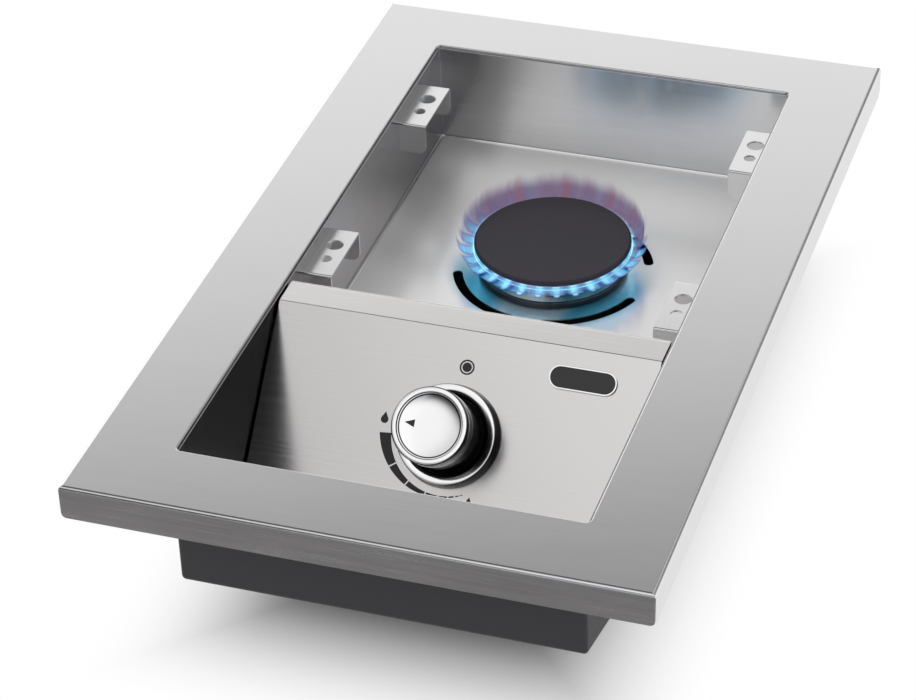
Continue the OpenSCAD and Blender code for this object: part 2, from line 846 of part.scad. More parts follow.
module burner_head() color("lightgray") at_burner() difference() {
    disc(head_r, head_z, cap_z, fine);
    disc(head_r - head_wall, head_z + head_floor, cap_z + cut, fine);
    disc(throat_r, head_z - cut, cap_z + cut);
    for (k = [0:ports - 1]) rotate([0, 0, 360 * (k + 0.5) / ports])
        slab(head_r - head_wall - cut, head_r + cut, -port_w / 2, port_w / 2,
            cap_z - port_h, cap_z + cut);
}

module burner_base() color("#4a4a4c") difference() {
    at_burner() {
        turned([
            [throat_r, base_z], [base_r - base_t / 4, base_z], [base_r, base_z + base_t / 4],
            [base_r, head_z - base_t / 4], [base_r - base_t / 4, head_z], [throat_r, head_z]
        ]);
        tube(throat_r + throat_wall, throat_r, base_z - throat_l, head_z);
    }
    burner_screw_places()
        disc(burner_screw_r + screw_play / 4, base_z - cut, base_z + burner_screw_depth, small);
}

module burner_gasket() color("#2c2c2c") difference() {
    at_burner() tube(gasket_r, pan_hole_r, pan_z, base_z, mid);
    burner_screw_places() disc(burner_screw_r + screw_play, pan_z - cut, base_z + cut, small);
}

module burner_screws() color("lightgray") burner_screw_places() {
    seat = mix_top - mix_flange_t;
    disc(burner_screw_r, seat, base_z + burner_screw_depth - screw_play, small);
    disc(burner_screw_head_r, seat - burner_screw_head_h, seat, small);
}

module mixing_tube() color("silver") difference() {
    at_burner() {
        tube(mix_r, mix_r - mix_wall, mix_bottom, mix_top);
        tube(mix_flange_r, mix_r - mix_wall, mix_top - mix_flange_t, mix_top);
        tube(mix_r, thread_r + screw_play / 2, mix_bottom, mix_bottom + mix_wall);
    }
    at_burner() for (k = [0:mix_windows - 1]) rotate([0, 0, 45 + 360 * k / mix_windows])
        slab(0, mix_r + cut, -mix_window_w / 2, mix_window_w / 2,
            mix_bottom + 2 * mix_wall, mix_bottom + 2 * mix_wall + mix_window_h);
    burner_screw_places()
        disc(burner_screw_r + screw_play, mix_top - mix_flange_t - cut, mix_top + cut, small);
}

module injector() color("goldenrod") at_burner() {
    top = mix_bottom + holder_spigot_l;
    difference() {
        union() {
            disc(injector_bore_r, top - injector_l, top, small);
            disc(injector_hex_r, top, top + injector_hex_h, hex);
            translate([0, 0, top + injector_hex_h])
                cylinder(r1 = injector_bore_r, r2 = 2 * orifice_r, h = injector_l, $fn = small);
        }
        disc(orifice_r, top - injector_l - cut, top + injector_hex_h + injector_l + cut, small);
    }
}

module injector_nut() color("silver") at_burner() difference() {
    low = mix_bottom + mix_wall;
    disc(injector_nut_r, low, low + injector_nut_h, hex);
    disc(thread_r + screw_play / 4, low - cut, low + injector_nut_h + cut);
}

module injector_holder() color("goldenrod") difference() {
    union() {
        at_burner() {
            disc(holder_r, holder_z, mix_bottom);
            disc(thread_r, mix_bottom, mix_bottom + holder_spigot_l);
        }
        translate([knob_x, burner_y, holder_port_z]) rotate([90, 0, 0])
            disc(thread_r, 0, holder_r + port_l);
    }
    at_burner() {
        disc(gas_way_r, holder_port_z, mix_bottom + cut, small);
        disc(injector_bore_r + screw_play / 4, mix_bottom + holder_spigot_l - injector_l,
            mix_bottom + holder_spigot_l + cut, small);
        disc(gas_way_r, mix_bottom, mix_bottom + holder_spigot_l, small);
    }
    translate([knob_x, burner_y, holder_port_z]) rotate([90, 0, 0])
        disc(gas_way_r, 0, holder_r + port_l + cut, small);
}

// A nut that holds a tube on a thread: z0 at the thread's side, the tube leaving upward
module tube_nut() difference() {
    disc(tube_nut_r, -nut_reach, tube_nut_l - nut_reach, hex);
    disc(thread_r + screw_play / 4, -nut_reach - cut, screw_play);
    disc(tube_r + screw_play / 4, -cut, tube_nut_l, small);
}

module holder_tube_nut() color("goldenrod")
    translate([knob_x, port_y, holder_port_z]) rotate([90, 0, 0]) tube_nut();

module valve_tube_nut() color("goldenrod")
    at_knob() translate([0, 0, spigot_end]) rotate([180, 0, 0]) tube_nut();

// The tube leaves the valve along the knob's axis and meets the holder level
tube_start = knob_point(0, 0, spigot_end - screw_play);
tube_end = [knob_x, port_y - screw_play, holder_port_z];
tube_knee = [
    knob_x,
    tube_start[1] + (tube_start[2] - holder_port_z) * tan(panel_slope),
    holder_port_z
];

module gas_tube() color("lightgray")
    swept(route([tube_start, tube_knee, tube_end], tube_bend), tube_r, sweep_sides);

module valve_body() color("#b9a36a") at_knob() difference() {
    union() {
        disc(valve_r, valve_bottom, bonnet_bottom);
        disc(thread_r, spigot_end, valve_bottom);
        translate([0, 0, inlet_at]) rotate([0, 90, 0]) disc(boss_r, 0, boss_reach);
    }
    disc(rotor_r + running_gap, rotor_bottom - rotor_end_gap, bonnet_bottom + cut);
    disc(gas_way_r, spigot_end - cut, rotor_bottom, small);
    translate([0, 0, inlet_at]) rotate([0, 90, 0]) {
        disc(gas_way_r, 0, boss_reach, small);
        disc(pipe_r + running_gap, boss_reach - boss_socket, boss_reach + cut);
    }
    for (side = [-1, 1]) translate([side * bonnet_screw_at, 0, 0])
        disc(bonnet_screw_r + screw_play / 4, bonnet_top - bonnet_screw_l - cut,
            bonnet_bottom + cut, small);
}

module valve_bonnet() color("#b9a36a") at_knob() difference() {
    union() {
        disc(bonnet_r, bonnet_bottom, bonnet_top);
        for (side = [-1, 1]) translate([0, side * valve_screw_at, 0])
            disc(ear_r, bonnet_top - ear_t, bonnet_top);
    }
    disc(bonnet_bore_r, bonnet_bottom - cut, bonnet_top - neck_l);
    disc(stem_r + running_gap, bonnet_bottom, bonnet_top + cut);
    for (side = [-1, 1]) {
        translate([side * bonnet_screw_at, 0, 0]) {
            disc(bonnet_screw_r + screw_play / 4, bonnet_bottom - cut, bonnet_top + cut, small);
            disc(bonnet_screw_head_r + screw_play / 2, bonnet_top - bonnet_screw_head_h - screw_play,
                bonnet_top + cut, small);
        }
        translate([0, side * valve_screw_at, 0])
            disc(valve_screw_r + screw_play / 4, bonnet_top - ear_t - cut, bonnet_top + cut, small);
    }
}

module bonnet_screws() color("lightgray") at_knob()
    for (side = [-1, 1]) translate([side * bonnet_screw_at, 0, 0]) {
        disc(bonnet_screw_r, bonnet_top - bonnet_screw_l, bonnet_top - bonnet_screw_head_h, small);
        disc(bonnet_screw_head_r, bonnet_top - bonnet_screw_head_h - screw_play / 2,
            bonnet_top - screw_play / 2, small);
    }

module valve_screws() color("lightgray") at_knob()
    for (side = [-1, 1]) translate([0, side * valve_screw_at, 0]) {
        disc(valve_screw_r, bonnet_top - ear_t, 0, small);
        disc(valve_screw_head_r, 0, valve_screw_head_h, small);
    }

// A round shaft with a flat on its left side
module d_shaft(r, flat, z0, z1) difference() {
    disc(r, z0, z1);
    slab(-r - cut, -flat, -r - cut, r + cut, z0 - cut, z1 + cut);
}

module valve_rotor() color("darkgoldenrod") at_knob() difference() {
    disc(rotor_r, rotor_bottom, rotor_top);
    d_shaft(stem_r + running_gap, stem_flat + running_gap, stem_inner - knob_travel - 2 * running_gap,
        rotor_top + cut);
    disc(gas_way_r, rotor_bottom - cut, inlet_at, small);
    translate([0, 0, inlet_at]) rotate([0, 90, 0]) disc(gas_way_r, 0, rotor_r + cut, small);
}

module valve_stem() color("silver") at_knob() {
    waist = rotor_top + knob_travel + sheet_gap;
    d_shaft(stem_r, stem_flat, stem_inner, waist);
    disc(stem_r, waist, stem_outer - flat_l);
    d_shaft(stem_r, stem_flat, stem_outer - flat_l, stem_outer - stem_shy);
    disc(collar_r, collar_top - collar_t, collar_top);
}

module stem_spring() color("silver") at_knob() {
    low = rotor_top + spring_wire_r + spring_end_gap;
    high = collar_top - collar_t - spring_wire_r - spring_end_gap;
    steps = spring_steps * spring_turns;
    swept([for (s = [0:steps])
        [spring_r * cos(360 * spring_turns * s / steps),
         spring_r * sin(360 * spring_turns * s / steps),
         low + (high - low) * s / steps]
    ], spring_wire_r, lead_sides);
}

module piezo_igniter() color("#2a2a2c") at_knob() {
    translate([piezo_x, 0, 0]) {
        disc(piezo_r, piezo_top - piezo_l, piezo_top);
        disc(piezo_tail_r, piezo_end, piezo_top - piezo_l, small);
    }
    difference() {
        slab(piezo_x, 0, -piezo_saddle_w / 2, piezo_saddle_w / 2,
            piezo_top - piezo_l + piezo_saddle_w, piezo_top - piezo_saddle_w / 2);
        disc(valve_r + screw_play / 2, piezo_top - piezo_l - cut, piezo_top + cut);
    }
}

// The lead runs from the spark generator, through the shield, to the electrode's foot
lead_route = [
    knob_point(piezo_x, 0, piezo_end), knob_point(piezo_x, 0, piezo_end - lead_bend * 1.5),
    [knob_x + piezo_x, shield_y - lead_before, holder_port_z],
    [knob_x + piezo_x, shield_y + lead_after, holder_port_z],
    [knob_x + piezo_x, burner_y + lead_turn, holder_port_z - lead_step],
    [0, electrode_y, holder_port_z - lead_low], [0, electrode_y, electrode_low - rod_foot]
];

module igniter_lead() color("#8a2b25")
    swept(route(lead_route, lead_bend), lead_r, lead_sides);

module electrode_insulator() color("ivory") translate([0, electrode_y, 0]) {
    tube(ceramic_r, rod_r + running_gap, electrode_low, electrode_top, small);
    low = pan_z - sheet_t - clip_t - shoulder_h;
    tube(shoulder_r, rod_r + running_gap, low, low + shoulder_h, small);
}

module electrode_rod() color("silver")
    swept(route([
        [0, electrode_y, electrode_low - rod_foot], [0, electrode_y, rod_tip_z],
        [0, rod_tip_y, rod_tip_z]
    ], rod_bend), rod_r, lead_sides);

module electrode_clip() color("silver") translate([0, electrode_y, 0]) {
    top = pan_z - sheet_t;
    difference() {
        slab(-clip_w / 2, clip_w / 2, -clip_w / 2, clip_l - clip_w / 2, top - clip_t, top);
        disc(ceramic_r + screw_play / 2, top - clip_t - cut, top + cut, small);
        translate([0, clip_screw_at, 0])
            disc(clip_screw_r + screw_play / 2, top - clip_t - cut, top + cut, small);
    }
}

module electrode_screw() color("lightgray") translate([0, electrode_y + clip_screw_at, 0]) {
    disc(clip_screw_head_r, pan_z, pan_z + clip_screw_head_h, small);
    disc(clip_screw_r, pan_z - clip_screw_l, pan_z, small);
}

// The pipe runs forward from the inlet, up and then left to the valve's boss
pipe_to = knob_point(boss_reach - boss_socket, 0, inlet_at);
pipe_route = [
    [pipe_x, inlet_end + pipe_r, pipe_z], [pipe_x, pipe_to[1], pipe_z],
    [pipe_x, pipe_to[1], pipe_to[2]], pipe_to
];
pipe_bend_r = min(pipe_bend, (pipe_to[2] - pipe_z) / 2 - running_gap);

module manifold_pipe() color("lightgray")
    swept(route(pipe_route, pipe_bend_r), pipe_r, sweep_sides);

// The inlet's own frame: +Z out through the tray's back wall, zero at the wall's outer face
module at_inlet() {
    translate([pipe_x, tray_back, pipe_z]) rotate([-90, 0, 0]) children();
}

module inlet_fitting() color("goldenrod") at_inlet() difference() {
    inner = -tray_t - inlet_inner_l;
    union() {
        disc(inlet_nut_r, 0, inlet_hex_t, hex);
        disc(inlet_r, inlet_hex_t, inlet_hex_t + inlet_l);
        translate([0, 0, inlet_hex_t + inlet_l])
            cylinder(r1 = inlet_r * 0.8, r2 = inlet_bore_r + nose_wall, h = inlet_nose, $fn = mid);
        disc(inlet_body_r, inner, 0);
    }
    disc(inlet_bore_r, inner - cut, inlet_hex_t + inlet_l + inlet_nose + cut);
    disc(pipe_r + running_gap, inner - cut, inner + pipe_r + running_gap);
}

module inlet_locknut() color("goldenrod") at_inlet() difference() {
    disc(inlet_nut_r, -tray_t - inlet_locknut_t, -tray_t, hex);
    disc(inlet_body_r + running_gap, -tray_t - inlet_locknut_t - cut, -tray_t + cut);
}

module knob_body() color("#1b1b1d") at_knob() difference() {
    turned([
        [0, knob_gap], [flare_r, knob_gap], [flare_r, knob_gap + flare_h / 2],
        [body_r, knob_gap + flare_h], [body_r, band_z], [core_r, band_z],
        [core_r, band_z + band_l], [body_r, band_z + band_l],
        [body_r, knob_h - ring_l], [core_r, knob_h - ring_l],
        [core_r, knob_h - face_drop - face_t], [0, knob_h - face_drop - face_t]
    ]);
    difference() {
        disc(body_r - knob_wall, knob_gap - cut, hub_top);
        disc(hub_r, hub_bottom, band_z);
    }
    d_shaft(stem_r + running_gap, stem_flat + running_gap, stem_outer - flat_l - running_gap, stem_outer);
    disc(stem_r + running_gap, knob_gap, stem_outer - flat_l);
}

module knob_band() color("lightgray") at_knob()
    tube(knob_r, core_r, band_z, band_z + band_l, fine);

module knob_ring() color("whitesmoke") at_knob() turned([
    [core_r, knob_h - ring_l], [knob_r, knob_h - ring_l], [knob_r, knob_h - ring_round],
    [knob_r - ring_round / 3, knob_h - ring_round / 3], [knob_r - ring_round, knob_h],
    [face_r + ring_round / 2, knob_h], [face_r, knob_h - ring_round / 2],
    [face_r, knob_h - face_drop - face_t], [core_r, knob_h - face_drop - face_t]
]);

// The pointer's outline, grown all round by g
module pointer_wedge(g, l) {
    translate([-pointer_at, 0, pointer_low]) linear_extrude(l) polygon([
        [-pointer_l / 2 - 2 * g, 0], [pointer_l / 2 + g, pointer_w / 2 + 2 * g],
        [pointer_l / 2 + g, -pointer_w / 2 - 2 * g]
    ]);
}

module knob_face() color("whitesmoke") at_knob() {
    low = knob_h - face_drop - face_t;
    rim = face_r - running_gap;
    difference() {
        turned(concat(
            [[0, low], [rim, low]],
            [for (s = [dish_steps:-1:0])
                [rim * s / dish_steps, low + face_t - face_dish * (1 - pow(s / dish_steps, 2))]]
        ));
        pointer_wedge(running_gap, face_t + cut);
    }
}

module knob_pointer() color("#2a2a2c") at_knob() pointer_wedge(0, pointer_t);

module bezel() color("whitesmoke") at_knob() {
    turned([
        [bezel_in_r, 0], [bezel_r, 0], [bezel_front_r, bezel_h - bezel_round],
        [bezel_front_r - bezel_round, bezel_h], [bezel_in_r + bezel_round, bezel_h],
        [bezel_in_r, bezel_h - bezel_round]
    ]);
    for (side = [-1, 1]) translate([side * stud_at, 0, 0])
        disc(stud_r, -stud_l, 0, small);
}

module bezel_liner() color("#151516") at_knob() {
    tube(liner_r, liner_r - liner_t, 0, bezel_h - 2 * bezel_round, fine);
    tube(liner_r, liner_floor_r, 0, liner_t, fine);
}

module bezel_nuts() color("silver") at_knob()
    for (side = [-1, 1]) translate([side * stud_at, 0, 0]) difference() {
        disc(bezel_nut_r, -sheet_t - bezel_nut_h, -sheet_t, hex);
        disc(stud_r + screw_play / 4, -sheet_t - bezel_nut_h - cut, -sheet_t + cut, small);
    }

// A stretch of the scale between two shares of its span, narrowing towards the low end
function scale_width(k) = scale_end_w + (scale_w - scale_end_w) * pow(1 - k, taper);
function scale_edge(k0, k1, outer) = [
    for (s = [0:scale_steps])
        let (k = k0 + (k1 - k0) * s / scale_steps, a = scale_start + scale_span * k,
             r = scale_r + outer * scale_width(k))
            [r * cos(a), r * sin(a)]
];
function drop(r) = concat([[0, 2 * r]], [for (a = [150:20:390]) [r * cos(a), r * sin(a)]]);
function backward(p) = [for (i = [len(p) - 1:-1:0]) p[i]];

module dial_marks() color("#333336") {
    at_knob() {
        linear_extrude(print_t) for (k = scale_shares)
            polygon(concat(scale_edge(k[0], k[1], 1), backward(scale_edge(k[0], k[1], 0))));
        rotate([0, 0, low_mark_angle]) translate([low_mark_at, 0, 0])
            rotate([0, 0, 90 - low_mark_angle]) cylinder(r = low_mark_r, h = print_t, $fn = 3);
        translate([high_mark_at * cos(high_mark_angle), high_mark_at * sin(high_mark_angle), 0])
            linear_extrude(print_t) polygon(drop(high_mark_r));
    }
    on_panel(off_x, off_down) {
        tube(off_r, off_r - off_line, 0, print_t, mid);
        disc(off_dot_r, 0, print_t, mid);
    }
}

module name_plate() color("whitesmoke") on_panel(plate_x, plate_down) difference() {
    linear_extrude(plate_t) polygon(rounded(plate_w, plate_h, plate_round));
    translate([0, 0, plate_t - inlay_depth]) linear_extrude(inlay_depth + cut)
        polygon(rounded(plate_w - 2 * inlay_rim, plate_h - 2 * inlay_rim, plate_round - inlay_rim));
}

module name_plate_inlay() color("#1a1a1c") on_panel(plate_x, plate_down) {
    inlay_in = 2 * inlay_rim + running_gap;
    translate([0, 0, plate_t - inlay_depth]) linear_extrude(inlay_depth / 2)
        polygon(rounded(plate_w - inlay_in, plate_h - inlay_in, plate_round - inlay_rim - running_gap));
}

trim_frame();
casing();
base_tray();
burner_pan();
control_panel();
heat_shield();
color("gainsboro") bracket(-1, back_y);  // bracket_back_left
color("gainsboro") bracket(1, back_y);  // bracket_back_right
color("gainsboro") bracket(-1, front_y);  // bracket_front_left
color("gainsboro") bracket(1, front_y);  // bracket_front_right
tray_screws();
burner_cap();
burner_head();
burner_base();
burner_gasket();
burner_screws();
mixing_tube();
injector();
injector_nut();
injector_holder();
holder_tube_nut();
gas_tube();
valve_tube_nut();
valve_body();
valve_bonnet();
bonnet_screws();
valve_screws();
valve_rotor();
valve_stem();
stem_spring();
piezo_igniter();
igniter_lead();
electrode_insulator();
electrode_rod();
electrode_clip();
electrode_screw();
manifold_pipe();
inlet_fitting();
inlet_locknut();
knob_body();
knob_band();
knob_ring();
knob_face();
knob_pointer();
bezel();
bezel_liner();
bezel_nuts();
dial_marks();
name_plate();
name_plate_inlay();
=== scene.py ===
"""The looks of a built in side burner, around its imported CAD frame.

Lengths are metres; MM turns millimetres into metres. +X is right, +Y is back and +Z is up,
with the origin under the middle of the unit.
"""

import json
from math import acos, cos, hypot, pi, radians, sin, tan

import bmesh
import bpy
from mathutils import Matrix, Vector


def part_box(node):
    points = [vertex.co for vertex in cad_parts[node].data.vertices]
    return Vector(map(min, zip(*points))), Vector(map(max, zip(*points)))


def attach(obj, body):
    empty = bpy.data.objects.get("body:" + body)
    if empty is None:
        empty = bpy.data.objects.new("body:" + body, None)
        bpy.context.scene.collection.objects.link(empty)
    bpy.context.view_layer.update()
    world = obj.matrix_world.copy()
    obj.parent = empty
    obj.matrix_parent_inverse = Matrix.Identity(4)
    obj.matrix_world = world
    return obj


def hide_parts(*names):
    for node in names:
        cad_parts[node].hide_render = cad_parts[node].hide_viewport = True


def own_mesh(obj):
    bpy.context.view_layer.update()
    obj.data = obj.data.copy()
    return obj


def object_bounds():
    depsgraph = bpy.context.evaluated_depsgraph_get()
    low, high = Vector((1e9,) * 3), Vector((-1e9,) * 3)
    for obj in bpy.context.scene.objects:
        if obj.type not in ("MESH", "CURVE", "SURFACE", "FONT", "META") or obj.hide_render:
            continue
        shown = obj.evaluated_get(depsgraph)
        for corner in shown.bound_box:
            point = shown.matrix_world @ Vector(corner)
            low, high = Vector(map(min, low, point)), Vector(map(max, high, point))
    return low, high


MM = 0.001

# Camera, found from the frame's corners in the photograph
PHOTO_WIDTH = 916
FOCAL_PIXELS = 3217.6
SENSOR_WIDTH = 36.0
CAMERA_PLACE = Vector((0.4829, -1.4593, 1.1574))
CAMERA_AZIMUTH = radians(19.397)
CAMERA_ELEVATION = radians(35.356)
CAMERA_ROLL = radians(-2.238)

# Light, in levels where 1 is white
ROOM_LEVEL = 0.62
BACKDROP_LEVEL = 1.02
LOW_BOOST = 0.5
LOW_BOOST_EDGE = (0.3, 0.48)
CEILING_LEVEL = 0.12
BACKDROP_EDGE = (0.535, 0.67)
FRONT_LOW = (0.38, 0.41, 0.43, 1)
FRONT_LOW_DARK = (0.07, 0.07, 0.075, 1)
FRONT_LOW_EDGE = (-0.325, -0.285)
FRONT_LEVEL = 1.16
FRONT_FAR_LEVEL = 0.80
FRONT_FADE = (-0.65, -0.30)
FRONT_SPLIT = (0.6, 0.7)
FRONT_TO_BACK = (-0.25, 0.1)
FLAG_LEVEL = 0.02
SIDE_FLAG_EDGE = (0.02, 0.14)
SIDE_FLAG_FADE = (0.52, 0.62)
SIDE_FLAG_LEVELS = (0.3, 0.7)
FLAG_NEAR_EDGE = (-0.12, 0.12)
FLAG_FAR_EDGE = (0.95, 1.3)
SHADOW_REACH = (-108 * MM, 12 * MM)
FLOOR_HALF = 6.0
FLOOR_DROP = 0.2 * MM
FLOOR_TONE = 0.93
CARD_TONE = 0.22
CARD_X = (-0.9, 0.5)
CARD_Y = (-1.4, -0.33)
CARD_HEIGHT = 4 * MM
LAMP_SIZE = 1.2
KEY_PLACE = (-0.8, 0.9, 1.9)
KEY_POWER = 20
FILL_PLACE = (0.9, -1.2, 1.6)
FILL_POWER = 5

# Finishes; a stroke is how fine it is across and along the brushing, and its share
STROKES = ((1500, 22, 0.4), (600, 14, 0.35), (120, 3, 0.2), (26, 18, 0.25))
STROKE_DEPTH = 0.02 * MM
LATHE_RINGS = 1800.0
LATHE_DEPTH = 0.01 * MM
GRAIN_DEPTH = 0.05 * MM
GRAIN_SWING = 0.1
MIDDLE_RANGE = (0.3, 0.7)

# Edges and steps
SMOOTH_ANGLE = radians(30)
TURNED_ANGLE = radians(40)
EDGE_ANGLE = radians(50)
NEARLY_STRAIGHT = radians(89.5)
SHEET_EDGE = 0.15 * MM
TRAY_EDGE = 0.1 * MM
PANEL_EDGE = 0.25 * MM
BRACKET_EDGE = 0.2 * MM
INLET_EDGE = 0.2 * MM
PLATE_EDGE = 0.12 * MM
SCREW_EDGE = 0.06 * MM
FINE_ROUND = 0.2 * MM
SMALL_ROUND = 0.3 * MM
ROUND = 0.6 * MM
BEZEL_ROUND = 0.5 * MM
RING_ROUND = 0.9 * MM
WELL_ROUND = 1.5 * MM
GRIP_ROUNDS = (0.5 * MM, 0.7 * MM, 3 * MM)
CUT_REACH = 3 * MM
CORNER_REACH = 2 * MM
MERGE_REACH = 1e-7
TURN_STEPS = 160
INLET_STEPS = 96
PEG_STEPS = 64
SCREW_STEPS = 48
SLOT_STEPS = 24

# Sheet metal
BEND_STEPS = 6
FRAME_SHEET = 1 * MM
FRAME_BEND = 2.2 * MM
OPENING_BEND = 0.9 * MM
OPENING_RADIUS = 3 * MM
LIP_HEIGHT = 9 * MM
SEAM = 0.4 * MM
FLAP_CORNER = 3 * MM
CASING_SHEET = 0.8 * MM
CASING_CORNER = 0.3 * MM
SHEET_GAP = 0.3 * MM
HANG_STRIP = 16 * MM
FRONT_SETBACK = 8 * MM
CASING_DROP = 1.6 * MM
PAN_BEND = 0.6 * MM
PAN_COVE = 1.5 * MM
TRAY_SHEET = 0.7 * MM
TRAY_BEND = 2.5 * MM
TRAY_FRONT_DEPTH = 38.5 * MM
TRAY_SLOPE = radians(14.6)
AIR_SLOTS = 5
AIR_SLOT_MARGIN = 50 * MM
AIR_SLOT_SHARE = 0.75
AIR_SLOT_ROUND = 0.98
AIR_SLOT_WIDTH = 5 * MM
AIR_SLOT_HEIGHT = 26 * MM
INLET_HOLE_R = 9.2 * MM
PANEL_BEND = 1.3 * MM
RIDGE_WIDTH = 20 * MM
PANEL_SLOPE = radians(46.5)
RECESS_FLOOR = 54 * MM
PANEL_LIP = 8 * MM
RETURN_WIDTH = 10 * MM
STEM_HOLE_R = 4.5 * MM
BRACKET_SHEET = 1.2 * MM
BRACKET_BEND = 1.3 * MM
BRACKET_HOLE_IN = 8.1 * MM
BRACKET_HOLE_PITCH = 15 * MM
BRACKET_BIG_R = 5.2 * MM
BRACKET_SMALL_R = 3.5 * MM

# Burner
PORTS = 28
PORT_WIDTH = 2.6 * MM
PORT_DEPTH = 3.4 * MM
HEAD_WALL = 5 * MM
PAN_HOLE_R = 13.7 * MM
ELECTRODE_HOLE_R = 3.4 * MM
SLOT_R = 58.2 * MM
SLOT_W = 6 * MM
SLOT_START = radians(21)
SLOT_END = radians(79)
# Painted reflection of the flames on the pan: how far it reaches, its colour and how much of it shows
FLAME_REFLECTION_REACH = (54 * MM, 68 * MM)
FLAME_REFLECTION_COLOUR = (0.0, 0.34, 0.48, 1)
FLAME_REFLECTION_MOST = 0.9
FLAME_REFLECTION_BEHIND = 0.1
FLAME_REFLECTION_AHEAD = 0.45
PORT_STEPS = 12
FLAME_STEPS = 24
FLAME_SPREAD = 0.3
FLAME_TAPER = 0.6
FLAME_FADE = (0.45, 1.0)
CORE_TO_RIM = (0.2, 0.85)
FOOT_TO_TIP = (0.3, 0.8)
LINE_EDGE = (0.15, 0.45)
FLICKER_GRAIN = 260.0
STREAK_GRAIN = 5.0
FLAME_FRONT = (-45 * MM, -15 * MM)
FLAME_BACK = (0.0, 45 * MM)
HAZE_EDGE = (-30 * MM, 30 * MM)

# Small pieces
SCREW_HEAD_R = 3.4 * MM
SCREW_HEAD_H = 1.8 * MM
SCREW_FOOT = 0.2 * MM
SCREW_ROUND = 1.2 * MM
SCREW_CROSS = 0.6 * SCREW_HEAD_R
SCREW_SHANK_R = 1.6 * MM
SCREW_SHANK = 6 * MM
SCREW_MIDDLE_Y = 0.85 * MM
INLET_HEX_T = 7 * MM
INLET_CHAMFER = 0.8 * MM
INLET_BODY_R = 9 * MM
INLET_R = 7.94 * MM
INLET_BORE_R = 4 * MM
INLET_NOSE = 3 * MM
THREAD_PITCH = 1.5 * MM
THREAD_DEPTH = 0.7 * MM
PLATE_ROUND = 0.49

# Knob
BAND_PROUD = 0.8 * MM
KNOB_WALL = 2.2 * MM
KNOB_ROOF = 2.5 * MM
HUB_R = 6.5 * MM
HUB_IN = 6 * MM
STEM_BORE_R = 3.1 * MM
FLARE_HEIGHT = 2 * MM
# Width of the painted highlight on the flare's lip
FLARE_HIGHLIGHT_W = 0.35 * MM
RING_RIM = 0.5 * MM
DISH_STEPS = 24
DISH_POWER = 4
FACE_LINE_R = 17.3 * MM
FACE_LINE_W = 0.35 * MM
BEZEL_TAPER = 1.2 * MM
LINER_WALL = 0.8 * MM
LINER_HOLE_R = 19.5 * MM
SPRING_TURNS = 2
SPRING_STEPS = 32
WIRE_SIDES = 12

# Bodies
UNIT = "unit"
KNOB = "knob"
ROTOR = "rotor"

# The way up
UP = (0, 0, 1)

# Every material by its name, as new_material makes it
materials = {}


class Nodes:
    """A short way to write a material's or the world's node tree."""

    def __init__(self, tree):
        self.tree = tree
        self.shader = tree.nodes.get("Principled BSDF")

    def add(self, kind, **values):
        """Adds a shader node with its settings and inputs, and gives its outputs.

        An input named i0, i1 and so on is set by its number.
        """
        node = self.tree.nodes.new("ShaderNode" + kind)
        for name, value in values.items():
            numbered = name[0] == "i" and name[1:].isdigit()
            if hasattr(node, name):
                setattr(node, name, value)
            else:
                self.put(node, int(name[1:]) if numbered else name.replace("_", " "), value)
        return node.outputs

    def put(self, node, name, value):
        socket = node.inputs[name]
        if isinstance(value, bpy.types.NodeSocket):
            self.tree.links.new(value, socket)
        else:
            socket.default_value = value

    def set(self, name, value):
        self.put(self.shader, name, value)

    def math(self, operation, a, b=0.0, clamp=False):
        return self.add("Math", operation=operation, use_clamp=clamp, i0=a, i1=b)[0]

    def times(self, a, b, clamp=False):
        return self.math("MULTIPLY", a, b, clamp)

    def smooth(self, value, low, high, to_low=0.0, to_high=1.0):
        """A soft step of the value from low to high."""
        ends = {"From_Min": low, "From_Max": high, "To_Min": to_low, "To_Max": to_high}
        return self.add("MapRange", interpolation_type="SMOOTHSTEP", Value=value, **ends)[0]

    def place(self, scale=(1, 1, 1)):
        """The object's own coordinates, stretched by a scale for each axis."""
        return self.add("Mapping", Vector=self.add("TexCoord")["Object"], Scale=scale)[0]

    def axes(self):
        """The object's own x, y and z."""
        return self.add("SeparateXYZ", Vector=self.place())

    def length(self, x, y):
        flat = self.add("CombineXYZ", X=x, Y=y)[0]
        return self.add("VectorMath", operation="LENGTH", i0=flat)["Value"]

    def noise(self, vector, scale, detail=2.0, roughness=0.5):
        return self.add("TexNoise", Vector=vector, Scale=scale, Detail=detail, Roughness=roughness)["Fac"]

    def blend(self, factor, a, b):
        """One colour going over into another."""
        return self.add("Mix", data_type="RGBA", i0=factor, i6=a, i7=b)[2]

    def vary(self, factor, base, spread):
        """Lets the base colour swing by a share, spread, with a factor from 0 to 1."""
        dark = tuple(c * (1 - spread) for c in base)
        light = tuple(min(1, c * (1 + spread)) for c in base)
        self.set("Base Color", self.blend(factor, (*dark, 1), (*light, 1)))

    def bump(self, height, strength, distance):
        self.set("Normal", self.add("Bump", Height=height, Strength=strength, Distance=distance)[0])


def new_material(name, base, metallic=0.0, roughness=0.5, **extra):
    """A Principled material, kept by its name; extra names more sockets, with _ for a space."""
    mat = bpy.data.materials.new(name)
    mat.use_nodes = True
    mat.diffuse_color = (*base, 1)
    materials[name] = mat
    nodes = Nodes(mat.node_tree)
    values = {"Base Color": (*base, 1), "Metallic": metallic, "Roughness": roughness, **extra}
    for key, value in values.items():
        nodes.set(key.replace("_", " "), value)
    return nodes


